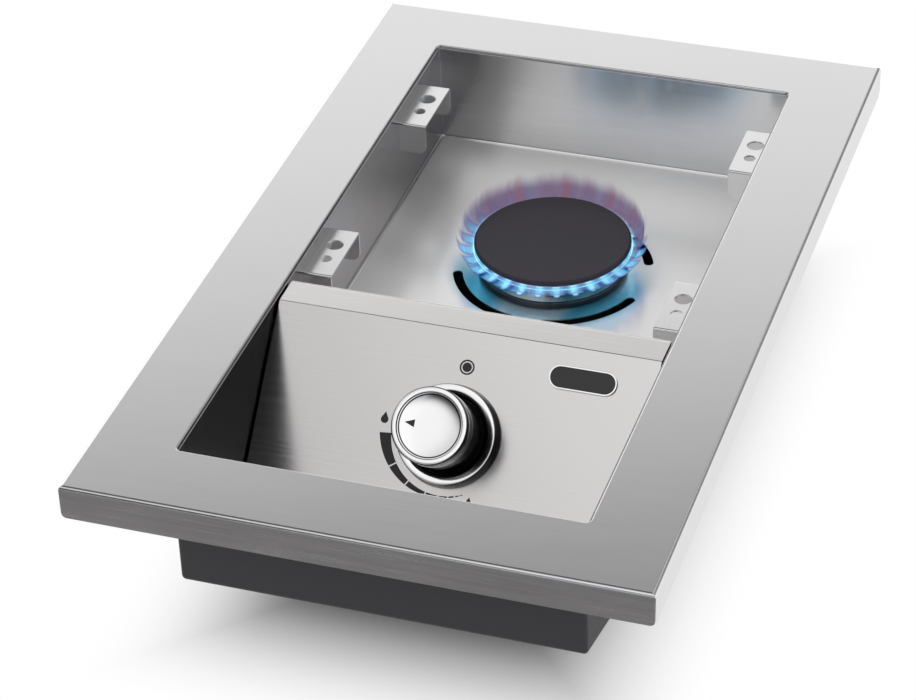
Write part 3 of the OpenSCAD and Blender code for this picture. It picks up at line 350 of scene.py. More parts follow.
def brushed_steel(name, base, roughness, grain=(1, 0, 0), spread=0.03, metal=1.0, aniso=0.6):
    """Sheet steel with brush strokes along the grain direction and a faint cloudiness."""
    nodes = new_material(name, base, metal, roughness, Anisotropic=aniso)
    streaks = 0.5
    for across, along, share in STROKES:
        scale = tuple(along if g else across for g in grain)
        stroke = nodes.math("SUBTRACT", nodes.noise(nodes.place(scale), 1.0, 2.0, 0.6), 0.5)
        streaks = nodes.math("ADD", nodes.times(stroke, share), streaks)
    nodes.vary(nodes.smooth(streaks, *MIDDLE_RANGE), base, spread)
    ends = [roughness * (1 + swing * spread) for swing in (-2, 2)]
    nodes.set("Roughness", nodes.smooth(streaks, *MIDDLE_RANGE, *ends))
    nodes.bump(streaks, spread, STROKE_DEPTH)
    normal = nodes.add("NewGeometry")["Normal"]
    stroke_way = nodes.add("CombineXYZ", X=grain[0], Y=grain[1], Z=grain[2])
    spread_way = nodes.add("VectorMath", operation="CROSS_PRODUCT", i0=normal, i1=stroke_way[0])
    nodes.set("Tangent", spread_way[0])


def turned_metal(name, base, roughness, spread=0.03, lift=0.03, aniso=0.3):
    """Metal turned on a lathe, with fine rings round the piece's own Z axis."""
    nodes = new_material(name, base, 1.0, roughness, Anisotropic=aniso)
    x, y, z = nodes.axes()
    line = nodes.add("CombineXYZ", X=nodes.length(x, y), Y=z)
    rings = nodes.noise(line[0], LATHE_RINGS)
    nodes.vary(rings, base, spread)
    nodes.bump(rings, lift, LATHE_DEPTH)
    tangent = nodes.add("Tangent", direction_type="RADIAL", axis="Z")
    nodes.set("Tangent", tangent[0])


def paint_flame_reflection():
    """Paints the pan close round the burner blue-green: a painted reflection of the flames above it."""
    nodes = Nodes(materials["pan_steel"].node_tree)
    own = nodes.shader.inputs["Base Color"].links[0].from_socket
    x, y, _ = nodes.axes()
    y = nodes.math("SUBTRACT", y, BURNER_Y)
    near, far = FLAME_REFLECTION_REACH
    share = nodes.smooth(nodes.length(x, y), near, far, FLAME_REFLECTION_MOST, 0.0)
    share = nodes.times(share, nodes.smooth(y, -near / 2, near / 3, 1.0, FLAME_REFLECTION_BEHIND))
    beside = nodes.smooth(nodes.math("ABSOLUTE", x), near / 4, near / 2, FLAME_REFLECTION_AHEAD, 1.0)
    share = nodes.times(share, beside)
    nodes.set("Base Color", nodes.blend(share, own, FLAME_REFLECTION_COLOUR))


def grained(name, base, metallic, roughness, scale, spread=0.08, lift=0.1, **extra):
    """A finish with a fine grain: paint, enamel, moulded plastic, plated or cast metal."""
    nodes = new_material(name, base, metallic, roughness, **extra)
    grain = nodes.noise(nodes.place(), scale, 3.0, 0.6)
    nodes.vary(grain, base, spread)
    ends = [min(1, roughness * (1 + swing)) for swing in (-GRAIN_SWING, GRAIN_SWING)]
    nodes.set("Roughness", nodes.smooth(grain, *MIDDLE_RANGE, *ends))
    nodes.bump(grain, lift, GRAIN_DEPTH)


def make_materials():
    """One material for each of the record's slots, one for each way of brushing, and darker and lighter
    copies of some steels, which are painted shade and painted light.
    """
    back_to_front = (0, 1, 0)
    brushed_steel("frame_steel", (0.765, 0.76, 0.765), 0.18, spread=0.02)
    # Darker copies of the flange's steel for the skirts: painted shade, the side skirts brushed front to
    # back
    brushed_steel("side_skirt_shaded_steel", (0.70, 0.70, 0.71), 0.24, back_to_front)
    brushed_steel("end_skirt_shaded_steel", (0.72, 0.70, 0.705), 0.24, spread=0.09)
    brushed_steel("inner_steel", (0.80, 0.80, 0.80), 0.2, spread=0.04, aniso=0.8)
    # A dark copy of the casing steel for the side walls: painted shade
    brushed_steel("side_wall_shaded_steel", (0.42, 0.41, 0.42), 0.18, UP, 0.06)
    brushed_steel("pan_steel", (0.99, 0.975, 0.97), 0.24, spread=0.012, metal=0.56)
    brushed_steel("bracket_steel", (0.84, 0.84, 0.84), 0.24, back_to_front)
    brushed_steel("panel_steel", (0.71, 0.695, 0.69), 0.22, spread=0.05)
    # A lighter copy of the panel steel for the ridge's top and the pan's cove: painted light
    brushed_steel("ridge_lit_steel", (0.90, 0.88, 0.875), 0.22, spread=0.05)
    # The tray's dark grey is painted shade
    grained("tray_paint", (0.055, 0.052, 0.056), 0.0, 0.55, 900, Specular_IOR_Level=0.2)
    grained("plain_steel", (0.42, 0.42, 0.43), 1.0, 0.42, 300)
    grained("plated_steel", (0.66, 0.67, 0.68), 1.0, 0.3, 1200)
    grained("cap_enamel", (0.026, 0.0235, 0.030), 0.0, 0.6, 2600, 0.2, 0.3)
    turned_metal("head_aluminium", (0.72, 0.72, 0.73), 0.22)
    grained("base_casting", (0.09, 0.088, 0.092), 1.0, 0.4, 1800)
    grained("gasket_fibre", (0.06, 0.06, 0.06), 0.0, 0.9, 2500)
    grained("brass", (0.72, 0.50, 0.20), 1.0, 0.26, 900)
    grained("valve_casting", (0.60, 0.48, 0.24), 1.0, 0.4, 1500, lift=0.25)
    grained("black_moulding", (0.025, 0.025, 0.027), 0.0, 0.45, 1800)
    grained("lead_jacket", (0.26, 0.03, 0.025), 0.0, 0.55, 1500)
    grained("ceramic", (0.84, 0.81, 0.74), 0.0, 0.22, 1500, 0.04, Coat_Weight=0.5)
    turned_metal("bright_chrome", (0.84, 0.84, 0.84), 0.08, 0.01, 0.004, 0.0)
    turned_metal("satin_chrome", (0.62, 0.62, 0.63), 0.2, 0.03, 0.01, 0.2)
    # Chrome painted dark for the bezel's outer wall and inner edge: a painted dark reflection and painted
    # shade
    grained("dark_nickel", (0.07, 0.07, 0.075), 1.0, 0.25, 1500, lift=0.02)
    grained("knob_black", (0.006, 0.006, 0.007), 0.0, 0.2, 1200, lift=0.03)
    grained("liner_black", (0.004, 0.004, 0.005), 0.0, 0.3, 1200, lift=0.03)
    grained("black_print", (0.022, 0.022, 0.026), 0.0, 0.4, 4000)
    grained("plate_black", (0.005, 0.005, 0.006), 0.0, 0.16, 1500, lift=0.02)


def dress_nodes():
    """Gives every CAD node the material of its slot."""
    for node, slot in slot_of.items():
        held = frame["nodes"][node].data.materials
        held.clear()
        held.append(materials[slot])


def corner_points(a, b, c, radius):
    """The arc that rounds the corner b between a and c."""
    a, b, c = Vector(a), Vector(b), Vector(c)
    u, v = (a - b).normalized(), (c - b).normalized()
    half = acos(max(-1, min(1, u.dot(v)))) / 2
    if radius <= 0 or half > NEARLY_STRAIGHT:
        return [b]
    middle = b + (u + v).normalized() * radius / sin(half)
    start = b + u * radius / tan(half) - middle
    end = b + v * radius / tan(half) - middle
    turn = pi - 2 * half
    shares = [s / BEND_STEPS for s in range(BEND_STEPS + 1)]
    return [middle + (sin((1 - k) * turn) * start + sin(k * turn) * end) / sin(turn) for k in shares]


def rounded_path(points, radii):
    """An open line whose inner corners are rounded, one radius a corner."""
    out = [Vector(points[0])]
    for i, radius in enumerate(radii, 1):
        out += corner_points(points[i - 1], points[i], points[i + 1], radius)
    return out + [Vector(points[-1])]


def rounded_outline(points, radii):
    """A closed outline with its corners rounded, one radius a corner."""
    count = len(points)
    out = []
    for i, radius in enumerate(radii):
        out += corner_points(points[i - 1], points[i], points[(i + 1) % count], radius)
    return out


def rounded_rect(x0, x1, y0, y1, radius, inset=0.0):
    """A rectangle with round corners, drawn in by inset, counterclockwise from the upper right."""
    x0, x1, y0, y1 = x0 + inset, x1 - inset, y0 + inset, y1 - inset
    return rounded_outline([(x1, y1), (x0, y1), (x0, y0), (x1, y0)], [radius] * 4)


def at_height(points, z):
    return [(p[0], p[1], z) for p in points]


def in_side_view(points, x):
    return [(x, p[0], p[1]) for p in points]


def in_front_view(points, y):
    return [(p[0], y, p[1]) for p in points]


def ring(radius, height, steps):
    """Points round the Z axis, counterclockwise from +X."""
    turns = [2 * pi * k / steps for k in range(steps)]
    return [(radius * cos(t), radius * sin(t), height) for t in turns]


def bend(radius):
    """How far a right-angled bend stands in and drops, step by step, from flat to upright."""
    turns = [pi / 2 * s / BEND_STEPS for s in range(BEND_STEPS + 1)]
    return [(radius * (1 - sin(t)), radius * (1 - cos(t))) for t in turns]


def loft(bm, rings, closed=True):
    """Quads between rings of points."""
    rows = [[bm.verts.new(p) for p in points] for points in rings]
    count = len(rows[0])
    for a, b in zip(rows, rows[1:]):
        for k in range(count if closed else count - 1):
            n = (k + 1) % count
            bm.faces.new((a[k], a[n], b[n], b[k]))
    return rows


def add_face(bm, points, slot=0):
    bm.faces.new([bm.verts.new(p) for p in points]).material_index = slot


def capped(bm, rings, closed=True):
    """Rings joined into one form, with both ends filled."""
    loft(bm, rings, closed)
    add_face(bm, rings[0])
    add_face(bm, rings[-1])


def merge(bm):
    bmesh.ops.remove_doubles(bm, verts=bm.verts, dist=MERGE_REACH)


def aim(bm, wanted):
    """Turns each face of an open sheet to the side that wanted(centre) points to."""
    bm.normal_update()
    for face in bm.faces:
        if face.normal.dot(wanted(face.calc_center_median())) < 0:
            face.normal_flip()


def new_object(name, bm, *finishes, place=Matrix()):
    """An object with smooth bends and crisp edges, in the materials of these names."""
    mesh = bpy.data.meshes.new(name)
    bm.to_mesh(mesh)
    bm.free()
    mesh.shade_smooth()
    mesh.set_sharp_from_angle(angle=SMOOTH_ANGLE)
    for finish in finishes:
        mesh.materials.append(materials[finish])
    obj = bpy.data.objects.new(name, mesh)
    bpy.context.scene.collection.objects.link(obj)
    obj.matrix_world = place
    return obj


def closed_object(name, bm, *finishes, place=Matrix()):
    merge(bm)
    bmesh.ops.recalc_face_normals(bm, faces=bm.faces)
    return new_object(name, bm, *finishes, place=place)


def cutter(bm, place=Matrix()):
    return closed_object("cutter", bm, "plain_steel", place=place)


def carve(obj, cutters):
    """Takes the cutters out of an object and applies its modifiers."""
    for tool in cutters:
        modifier = obj.modifiers.new("cut", "BOOLEAN")
        modifier.operation = "DIFFERENCE"
        modifier.solver = "EXACT"
        modifier.object = tool
    bpy.context.view_layer.update()
    graph = bpy.context.evaluated_depsgraph_get()
    mesh = bpy.data.meshes.new_from_object(obj.evaluated_get(graph))
    old = obj.data
    obj.modifiers.clear()
    obj.data = mesh
    bpy.data.meshes.remove(old)
    for tool in cutters:
        bpy.data.objects.remove(tool, do_unlink=True)


def paint(obj, chosen):
    """Gives the faces whose centre is chosen the second finish."""
    for face in obj.data.polygons:
        if chosen(face.center):
            face.material_index = 1


def paint_rings(obj, *bands):
    """Paints the faces between two radii round the piece's own Z axis."""
    paint(obj, lambda c: any(low < hypot(c.x, c.y) < high for low, high in bands))


def finish_edges(obj, edge):
    """Rounds the crisp edges and keeps the flats flat beside them."""
    obj.data.set_sharp_from_angle(angle=EDGE_ANGLE)
    modifier = obj.modifiers.new("edges", "BEVEL")
    modifier.width = edge
    modifier.segments = 2
    modifier.limit_method = "ANGLE"
    modifier.angle_limit = EDGE_ANGLE
    obj.modifiers.new("flats", "WEIGHTED_NORMAL").keep_sharp = True


def finish_sheet(obj, thickness, cutters=(), edge=SHEET_EDGE):
    """Gives an open sheet its thickness, behind the side that shows, its cuts and soft edges."""
    modifier = obj.modifiers.new("sheet", "SOLIDIFY")
    modifier.thickness = thickness
    modifier.offset = -1
    carve(obj, cutters)
    finish_edges(obj, edge)


def prism(name, outline, low, high, finish, place=Matrix()):
    """A closed outline, (x, y) points, drawn up from low to high."""
    bm = bmesh.new()
    capped(bm, [at_height(outline, low), at_height(outline, high)])
    return closed_object(name, bm, finish, place=place)


def facing(centre, toward):
    """A place at a centre whose Z axis points toward a direction."""
    turn = Vector(UP).rotation_difference(Vector(toward)).to_matrix().to_4x4()
    return Matrix.Translation(centre) @ turn


def punch(outline, place):
    """A cutter with this outline, through the XY plane of a place."""
    return prism("cutter", outline, -CUT_REACH, CUT_REACH, "plain_steel", place)


def peg(centre, toward, radius):
    """A round cutter through a point."""
    bm = bmesh.new()
    bmesh.ops.create_cone(
        bm, cap_ends=True, segments=PEG_STEPS, radius1=radius, radius2=radius, depth=2 * CUT_REACH)
    return new_object("cutter", bm, "plain_steel", place=facing(centre, toward))


def add_turning(bm, profile, place, steps):
    """A closed profile of (radius, height) points turned round the place's Z axis."""
    closed = list(profile) + [profile[0]]
    loft(bm, [[place @ Vector(p) for p in ring(r, h, steps)] for r, h in closed])


def turned(name, node, corners, radii, finishes, place, body=UNIT):
    """A node's piece, turned round the place's Z axis from the corners of its profile."""
    bm = bmesh.new()
    add_turning(bm, rounded_outline(corners, radii), Matrix(), TURN_STEPS)
    obj = closed_object(name, bm, *finishes, place=place)
    stand_for(obj, node, body)
    return obj


def middle_of(node):
    """The middle of a CAD node's box."""
    low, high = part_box(node)
    return (low + high) / 2


def local_points(node, place):
    """A CAD node's points as the place sees them."""
    back = place.inverted()
    return [back @ v.co for v in frame["nodes"][node].data.vertices]


def local_box(node, place):
    """The lowest and highest corner of a CAD node as the place sees it."""
    points = local_points(node, place)
    return [Vector([pick(p[k] for p in points) for k in range(3)]) for pick in (min, max)]


def turned_size(node, place):
    """The least and greatest radius, then height, of a CAD node as the place sees it."""
    points = local_points(node, place)
    radii = [hypot(p.x, p.y) for p in points]
    heights = [p.z for p in points]
    return min(radii), max(radii), min(heights), max(heights)


def stand_for(obj, node, body=UNIT):
    """The piece takes the CAD node's place, and rides on its body."""
    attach(obj, body)
    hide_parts(node)


def add_on(obj):
    """The piece stands for no node of its own and rides on the unit."""
    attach(obj, UNIT)


def set_camera():
    """The camera, where the photograph was taken from."""
    a, e = CAMERA_AZIMUTH, CAMERA_ELEVATION
    back = Vector((sin(a) * cos(e), -cos(a) * cos(e), sin(e)))
    level = Vector((cos(a), sin(a), 0))
    right = level * cos(CAMERA_ROLL) + back.cross(level) * sin(CAMERA_ROLL)
    data = bpy.data.cameras.new("camera")
    data.sensor_fit = "HORIZONTAL"
    data.sensor_width = SENSOR_WIDTH
    data.lens = FOCAL_PIXELS * SENSOR_WIDTH / PHOTO_WIDTH
    camera = bpy.data.objects.new("camera", data)
    bpy.context.scene.collection.objects.link(camera)
    turn = Matrix((right, back.cross(right), back)).transposed().to_4x4()
    camera.matrix_world = Matrix.Translation(CAMERA_PLACE) @ turn
    bpy.context.scene.camera = camera


def make_frame_sheet():
    """The trim frame: flange, outer bends, four flaps with open seams, and the lips."""
    low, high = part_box("trim_frame")
    x, y, top = high
    case_low, case_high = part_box("casing")
    ox = case_high[0] + SHEET_GAP
    oy0 = case_low[1] + HANG_STRIP + FRONT_SETBACK
    oy1 = case_high[1] + SHEET_GAP
    seam = FRAME_SHEET + SEAM
    bm = bmesh.new()

    def outer(inset, drop):
        ex, ey, sy = x - inset, y - inset, y - seam
        edge = [(ex, sy), (ex, ey), (-ex, ey), (-ex, sy), (-ex, -sy), (-ex, -ey), (ex, -ey), (ex, -sy)]
        return at_height(edge, top - drop)

    def inner(grow, drop):
        edge = rounded_rect(-ox, ox, oy0, oy1, OPENING_RADIUS + grow, -grow)
        return at_height(edge, top - drop)

    loft(bm, [outer(*step) for step in bend(FRAME_BEND)])
    lips = [inner(*step) for step in bend(OPENING_BEND)]
    lips.append(at_height(lips[-1], top - LIP_HEIGHT))
    loft(bm, lips)

    edge, hole = outer(FRAME_BEND, 0), inner(OPENING_BEND, 0)
    corners = (1, 2, 5, 6)
    count = BEND_STEPS + 1
    for c, start in enumerate(corners):
        rounds = hole[c * count:(c + 1) * count]
        for a, b in zip(rounds, rounds[1:]):
            add_face(bm, [edge[start], b, a])
        steps = (corners[(c + 1) % 4] - start) % len(edge)
        run = [edge[(start + s) % len(edge)] for s in range(steps + 1)]
        add_face(bm, run + [hole[(c + 1) % 4 * count], rounds[-1]])

    def flap(half):
        fold = top - FRAME_BEND
        points = [(-half, fold), (-half, low[2]), (half, low[2]), (half, fold)]
        return rounded_outline(points, [0, FLAP_CORNER, FLAP_CORNER, 0])

    # The flaps take darker copies of the flange's steel: painted shade
    for side in (-1, 1):
        add_face(bm, in_front_view(flap(x), side * y), slot=2)
        add_face(bm, in_side_view(flap(y - seam), side * x), slot=1)
    merge(bm)

    def wanted(c):
        middle_y = (oy0 + oy1) / 2
        flat = Vector((c.x, c.y - middle_y, 0)).normalized()
        near = 1.1 * OPENING_BEND
        inside = abs(c.x) < ox + near and oy0 - near < c.y < oy1 + near
        return Vector(UP) + (-flat if inside else flat)

    aim(bm, wanted)
    obj = new_object("frame_sheet", bm, "frame_steel", "side_skirt_shaded_steel", "end_skirt_shaded_steel")
    finish_sheet(obj, FRAME_SHEET)
    stand_for(obj, "trim_frame")


def make_casing_sheet():
    """The casing's walls, wrapped round their corners, and the strip that hangs its front."""
    low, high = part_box("casing")
    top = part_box("trim_frame")[1][2]
    x = high[0] - CASING_SHEET
    front = low[1] + HANG_STRIP + CASING_SHEET
    outline = rounded_rect(-x, x, front, high[1] - CASING_SHEET, CASING_CORNER)
    bm = bmesh.new()
    loft(bm, [at_height(outline, low[2]), at_height(outline, top - CASING_DROP)])
    aim(bm, lambda c: Vector((-c.x, -c.y, 0)))
    obj = new_object("casing_sheet", bm, "inner_steel", "side_wall_shaded_steel")
    # The side walls take a darker copy of the wall steel: painted shade
    paint(obj, lambda c: abs(c.x) > x - CASING_CORNER / 2)
    finish_sheet(obj, CASING_SHEET)
    stand_for(obj, "casing")

    strip_top = top - FRAME_SHEET
    outline = rounded_rect(low[0], high[0], low[1], front, CASING_CORNER)
    strip = prism("casing_strip", outline, strip_top - CASING_SHEET, strip_top, "inner_steel")
    finish_edges(strip, SHEET_EDGE)
    add_on(strip)


def slot_outline():
    """The outline of a curved air slot with round ends."""
    half = SLOT_W / 2
    points = []
    for radius, start, end, turn in (
            (SLOT_R + half, SLOT_START, SLOT_END, 0), (SLOT_R - half, SLOT_END, SLOT_START, pi)):
        sweep = [start + (end - start) * s / SLOT_STEPS for s in range(SLOT_STEPS + 1)]
        points += [(radius * cos(a), radius * sin(a)) for a in sweep]
        middle = (SLOT_R * cos(end), SLOT_R * sin(end))
        for s in range(1, 2 * BEND_STEPS):
            a = end + turn + pi * s / (2 * BEND_STEPS)
            points.append((middle[0] + half * cos(a), middle[1] + half * sin(a)))
    return points


def make_pan_sheet():
    """The basin's floor, bent down all round, with its slots and holes."""
    low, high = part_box("burner_pan")
    top = high[2]
    bm = bmesh.new()
    rings = []
    for inset, drop in bend(PAN_BEND):
        outline = rounded_rect(low[0], high[0], low[1], high[1], 2 * PAN_BEND - inset, inset)
        rings.append(at_height(outline, top - drop))
    rings.append(at_height(rings[-1], low[2]))
    loft(bm, rings)
    add_face(bm, rings[0])
    merge(bm)
    far_below = Vector((0, BURNER_Y, -1))
    aim(bm, lambda c: c - far_below)
    obj = new_object("pan_sheet", bm, "pan_steel")
    cutters = []
    for sx, sy in ((1, 1), (-1, 1), (1, -1), (-1, -1)):
        outline = [(sx * px, sy * py) for px, py in slot_outline()]
        cutters.append(punch(outline, BURNER_PLACE @ Matrix.Translation((0, 0, top))))
    ceramic = middle_of("electrode_insulator")
    cutters.append(peg((ceramic.x, ceramic.y, top), UP, ELECTRODE_HOLE_R))
    cutters.append(peg((0, BURNER_Y, top), UP, PAN_HOLE_R))
    finish_sheet(obj, CASING_SHEET, cutters)
    stand_for(obj, "burner_pan")

    side, back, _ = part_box("casing")[1]
    front, back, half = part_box("control_panel")[1][1], back - CASING_SHEET, side - CASING_SHEET
    bm = bmesh.new()
    rings = []
    for inset, rise in bend(PAN_COVE):
        outline = rounded_rect(-half, half, front, back, PAN_COVE, inset)
        rings.append(at_height(outline, top + rise))
    loft(bm, rings)
    middle = Vector((0, (front + back) / 2, top + half))
    aim(bm, lambda c: middle - c)
    # The cove takes the lighter ridge steel, which is painted light
    cove = new_object("pan_cove", bm, "ridge_lit_steel")
    finish_sheet(cove, PAN_COVE / 4, edge=PAN_COVE / 20)
    add_on(cove)


def make_panel_sheet():
    """The control panel, one bent sheet: back leg, ridge, slope, recess floor and front lip."""
    low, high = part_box("control_panel")
    back, ridge_z = high[1], high[2]
    ridge_front = back - RIDGE_WIDTH
    foot = ridge_front - (ridge_z - RECESS_FLOOR) / tan(PANEL_SLOPE)
    corners = [
        (back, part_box("burner_pan")[1][2]), (back, ridge_z), (ridge_front, ridge_z),
        (foot, RECESS_FLOOR), (low[1], RECESS_FLOOR), (low[1], RECESS_FLOOR + PANEL_LIP),
    ]
    path = rounded_path(corners, [PANEL_BEND, PANEL_BEND, 3 * PANEL_BEND, PANEL_BEND])
    bm = bmesh.new()
    loft(bm, [in_side_view(path, low[0]), in_side_view(path, high[0])], closed=False)

    def wanted(c):
        if c.y > back - MM / 10:
            return Vector((0, 1, 0))
        return Vector((0, -1 if c.y > foot else 1, 1))

    aim(bm, wanted)
    obj = new_object("panel_sheet", bm, "panel_steel", "ridge_lit_steel")
    # The ridge's top takes the lighter copy of the panel steel: painted light
    paint(obj, lambda c: c.z > ridge_z - PANEL_BEND / 4)
    hole = peg(KNOB_PLACE.translation, KNOB_AXIS, STEM_HOLE_R)
    finish_sheet(obj, CASING_SHEET, [hole], PANEL_EDGE)
    stand_for(obj, "control_panel")

    slope_l = (ridge_z - RECESS_FLOOR) / sin(PANEL_SLOPE) - RETURN_WIDTH
    place = Matrix.Translation((0, ridge_front, ridge_z)) @ KNOB_PLACE.to_3x3().to_4x4()
    half_t = CASING_SHEET / 2
    for side in (-1, 1):
        x = side * (high[0] - half_t)
        outline = rounded_rect(x - half_t, x + half_t, -slope_l, -RETURN_WIDTH, half_t / 4)
        name = "panel_return_" + ("left" if side < 0 else "right")
        add_on(prism(name, outline, -RETURN_WIDTH, -half_t, "panel_steel", place))


def make_bracket(node, side):
    """A support bracket: a plate with two holes, bent down at both ends, and its wall strip."""
    low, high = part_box(node)
    wall, inner = (high[0], low[0]) if side > 0 else (low[0], high[0])
    middle = (low[1] + high[1]) / 2
    path = rounded_path(
        [(low[1], low[2]), (low[1], high[2]), (high[1], high[2]), (high[1], low[2])],
        [BRACKET_BEND] * 2)
    bm = bmesh.new()
    loft(bm, [in_side_view(path, wall), in_side_view(path, inner)], closed=False)
    aim(bm, lambda c: Vector((0, c.y - middle, c.z - low[2])))
    obj = new_object(node + "_plate", bm, "bracket_steel")
    hole_x = wall - side * BRACKET_HOLE_IN
    half_pitch = BRACKET_HOLE_PITCH / 2
    cutters = [
        peg((hole_x, middle + half_pitch, high[2]), UP, BRACKET_BIG_R),
        peg((hole_x, middle - half_pitch, high[2]), UP, BRACKET_SMALL_R),
        corner_cutter(inner, side, low, high),
    ]
    finish_sheet(obj, BRACKET_SHEET, cutters, BRACKET_EDGE)
    stand_for(obj, node)

    half = high[1] - middle - 2 * BRACKET_BEND
    strip_low, strip_top = (low[2] + high[2]) / 2, high[2] - BRACKET_SHEET
    ends = [(middle + half, strip_top), (middle - half, strip_top),
            (middle - half, strip_low), (middle + half, strip_low)]
    outline = rounded_outline(ends, [0, 0, 2 * BRACKET_BEND, 2 * BRACKET_BEND])
    bm = bmesh.new()
    add_face(bm, in_side_view(outline, wall - side * BRACKET_SHEET))
    aim(bm, lambda c: Vector((-side, 0, 0)))
    strip = new_object(node + "_strip", bm, "bracket_steel")
    finish_sheet(strip, BRACKET_SHEET)
    add_on(strip)


def corner_cutter(inner, side, low, high):
    """What the end flanges' round lower corners lack, as a bar along Y."""
    r = (high[0] - low[0]) / 3
    outside, below = inner - side * CORNER_REACH, low[2] - CORNER_REACH
    outline = [(inner + side * inset, low[2] + rise) for rise, inset in bend(r)]
    outline += [(inner + side * r, below), (outside, below), (outside, low[2] + r)]
    bm = bmesh.new()
    capped(bm, [in_front_view(outline, y) for y in (low[1] - CORNER_REACH, high[1] + CORNER_REACH)])
    return cutter(bm)


def make_tray_sheet():
    """The tray, painted dark grey as painted shade, with its sloping underside, rounded bends, air slots
    and inlet hole.
    """
    low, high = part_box("base_tray")
    rim = high[2]
    front_z = rim - TRAY_FRONT_DEPTH
    knee = low[1] + front_z / tan(TRAY_SLOPE)
    slope_rise = (1 - sin(TRAY_SLOPE)) / cos(TRAY_SLOPE)
    bm = bmesh.new()
    rings = []
    for inset, drop in bend(TRAY_BEND):
        tight, wide = 1.5 * TRAY_BEND - inset, 4 * TRAY_BEND - inset
        path = rounded_path([
            (low[1] + inset, rim), (low[1] + inset, front_z + inset * slope_rise),
            (knee + inset * tan(TRAY_SLOPE / 2), low[2] + inset),
            (high[1] - inset, low[2] + inset), (high[1] - inset, rim),
        ], [tight, wide, tight])
        rings.append(in_side_view(path, high[0] - drop))
    rings += [[(-px, py, pz) for px, py, pz in points] for points in reversed(rings)]
    capped(bm, rings, closed=False)
    merge(bm)
    centre = Vector((0, (low[1] + high[1]) / 2, rim))
    aim(bm, lambda c: c - centre)
    # The tray takes the dark grey painted shade
    obj = new_object("tray_sheet", bm, "tray_paint")

    basin_front, basin_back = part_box("control_panel")[1][1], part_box("casing")[1][1] + SHEET_GAP
    pitch = (basin_back - basin_front - 2 * AIR_SLOT_MARGIN) / AIR_SLOTS
    half_l, half_w = pitch * AIR_SLOT_SHARE / 2, AIR_SLOT_WIDTH / 2
    outline = rounded_rect(-half_w, half_w, -half_l, half_l, half_w * AIR_SLOT_ROUND)
    cutters = []
    for k in range(AIR_SLOTS):
        y = basin_front + AIR_SLOT_MARGIN + (k + 0.5) * pitch
        for side in (-1, 1):
            cutters.append(punch(outline, facing((side * high[0], y, AIR_SLOT_HEIGHT), (1, 0, 0))))
    nut = middle_of("inlet_locknut")
    cutters.append(peg((nut.x, high[1], nut.z), (0, 1, 0), INLET_HOLE_R))
    finish_sheet(obj, TRAY_SHEET, cutters, TRAY_EDGE)
    stand_for(obj, "base_tray")


def make_burner():
    """The cap, the ported head and the base, turned, with rounded edges."""
    _, r, _, top = turned_size("burner_cap", BURNER_PLACE)
    _, head_r, head_low, head_top = turned_size("burner_head", BURNER_PLACE)
    cap_t = top - head_top
    turned("cap_plate", "burner_cap", [
        (0, top), (r - cap_t / 3, top), (r, top - cap_t / 3), (r, head_top + cap_t / 3),
        (r - cap_t / 3, head_top), (0, head_top),
    ], [0, cap_t / 3, cap_t / 4, cap_t / 4, cap_t / 4, 0], ["cap_enamel"], BURNER_PLACE)

    bore = head_r - HEAD_WALL
    head = turned("head_ring", "burner_head", [
        (bore, head_low), (head_r, head_low), (head_r, head_top), (bore, head_top),
    ], [0, ROUND, SMALL_ROUND, SMALL_ROUND], ["head_aluminium"], BURNER_PLACE)
    half = PORT_WIDTH / 2
    outline = rounded_rect(-half, half, head_top - PORT_DEPTH, head_top + HEAD_WALL, half / 2)
    ends = [in_side_view(outline, reach) for reach in (bore - HEAD_WALL, head_r + HEAD_WALL)]
    bm = bmesh.new()
    for k in range(PORTS):
        turn = Matrix.Rotation(2 * pi * (k + 0.5) / PORTS, 3, "Z")
        capped(bm, [[turn @ Vector(p) for p in points] for points in ends])
    carve(head, [cutter(bm, BURNER_PLACE)])
    head.data.set_sharp_from_angle(angle=TURNED_ANGLE)

    bore, r, low, base_top = turned_size("burner_base", BURNER_PLACE)
    base_low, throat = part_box("burner_gasket")[1][2], PAN_HOLE_R - SHEET_GAP
    edge = (base_top - base_low) / 3
    turned("base_ring", "burner_base", [
        (bore, low), (throat, low), (throat, base_low), (r, base_low), (r, base_top), (bore, base_top),
    ], [0, 0, 0, edge, edge, 0], ["base_casting"], BURNER_PLACE)


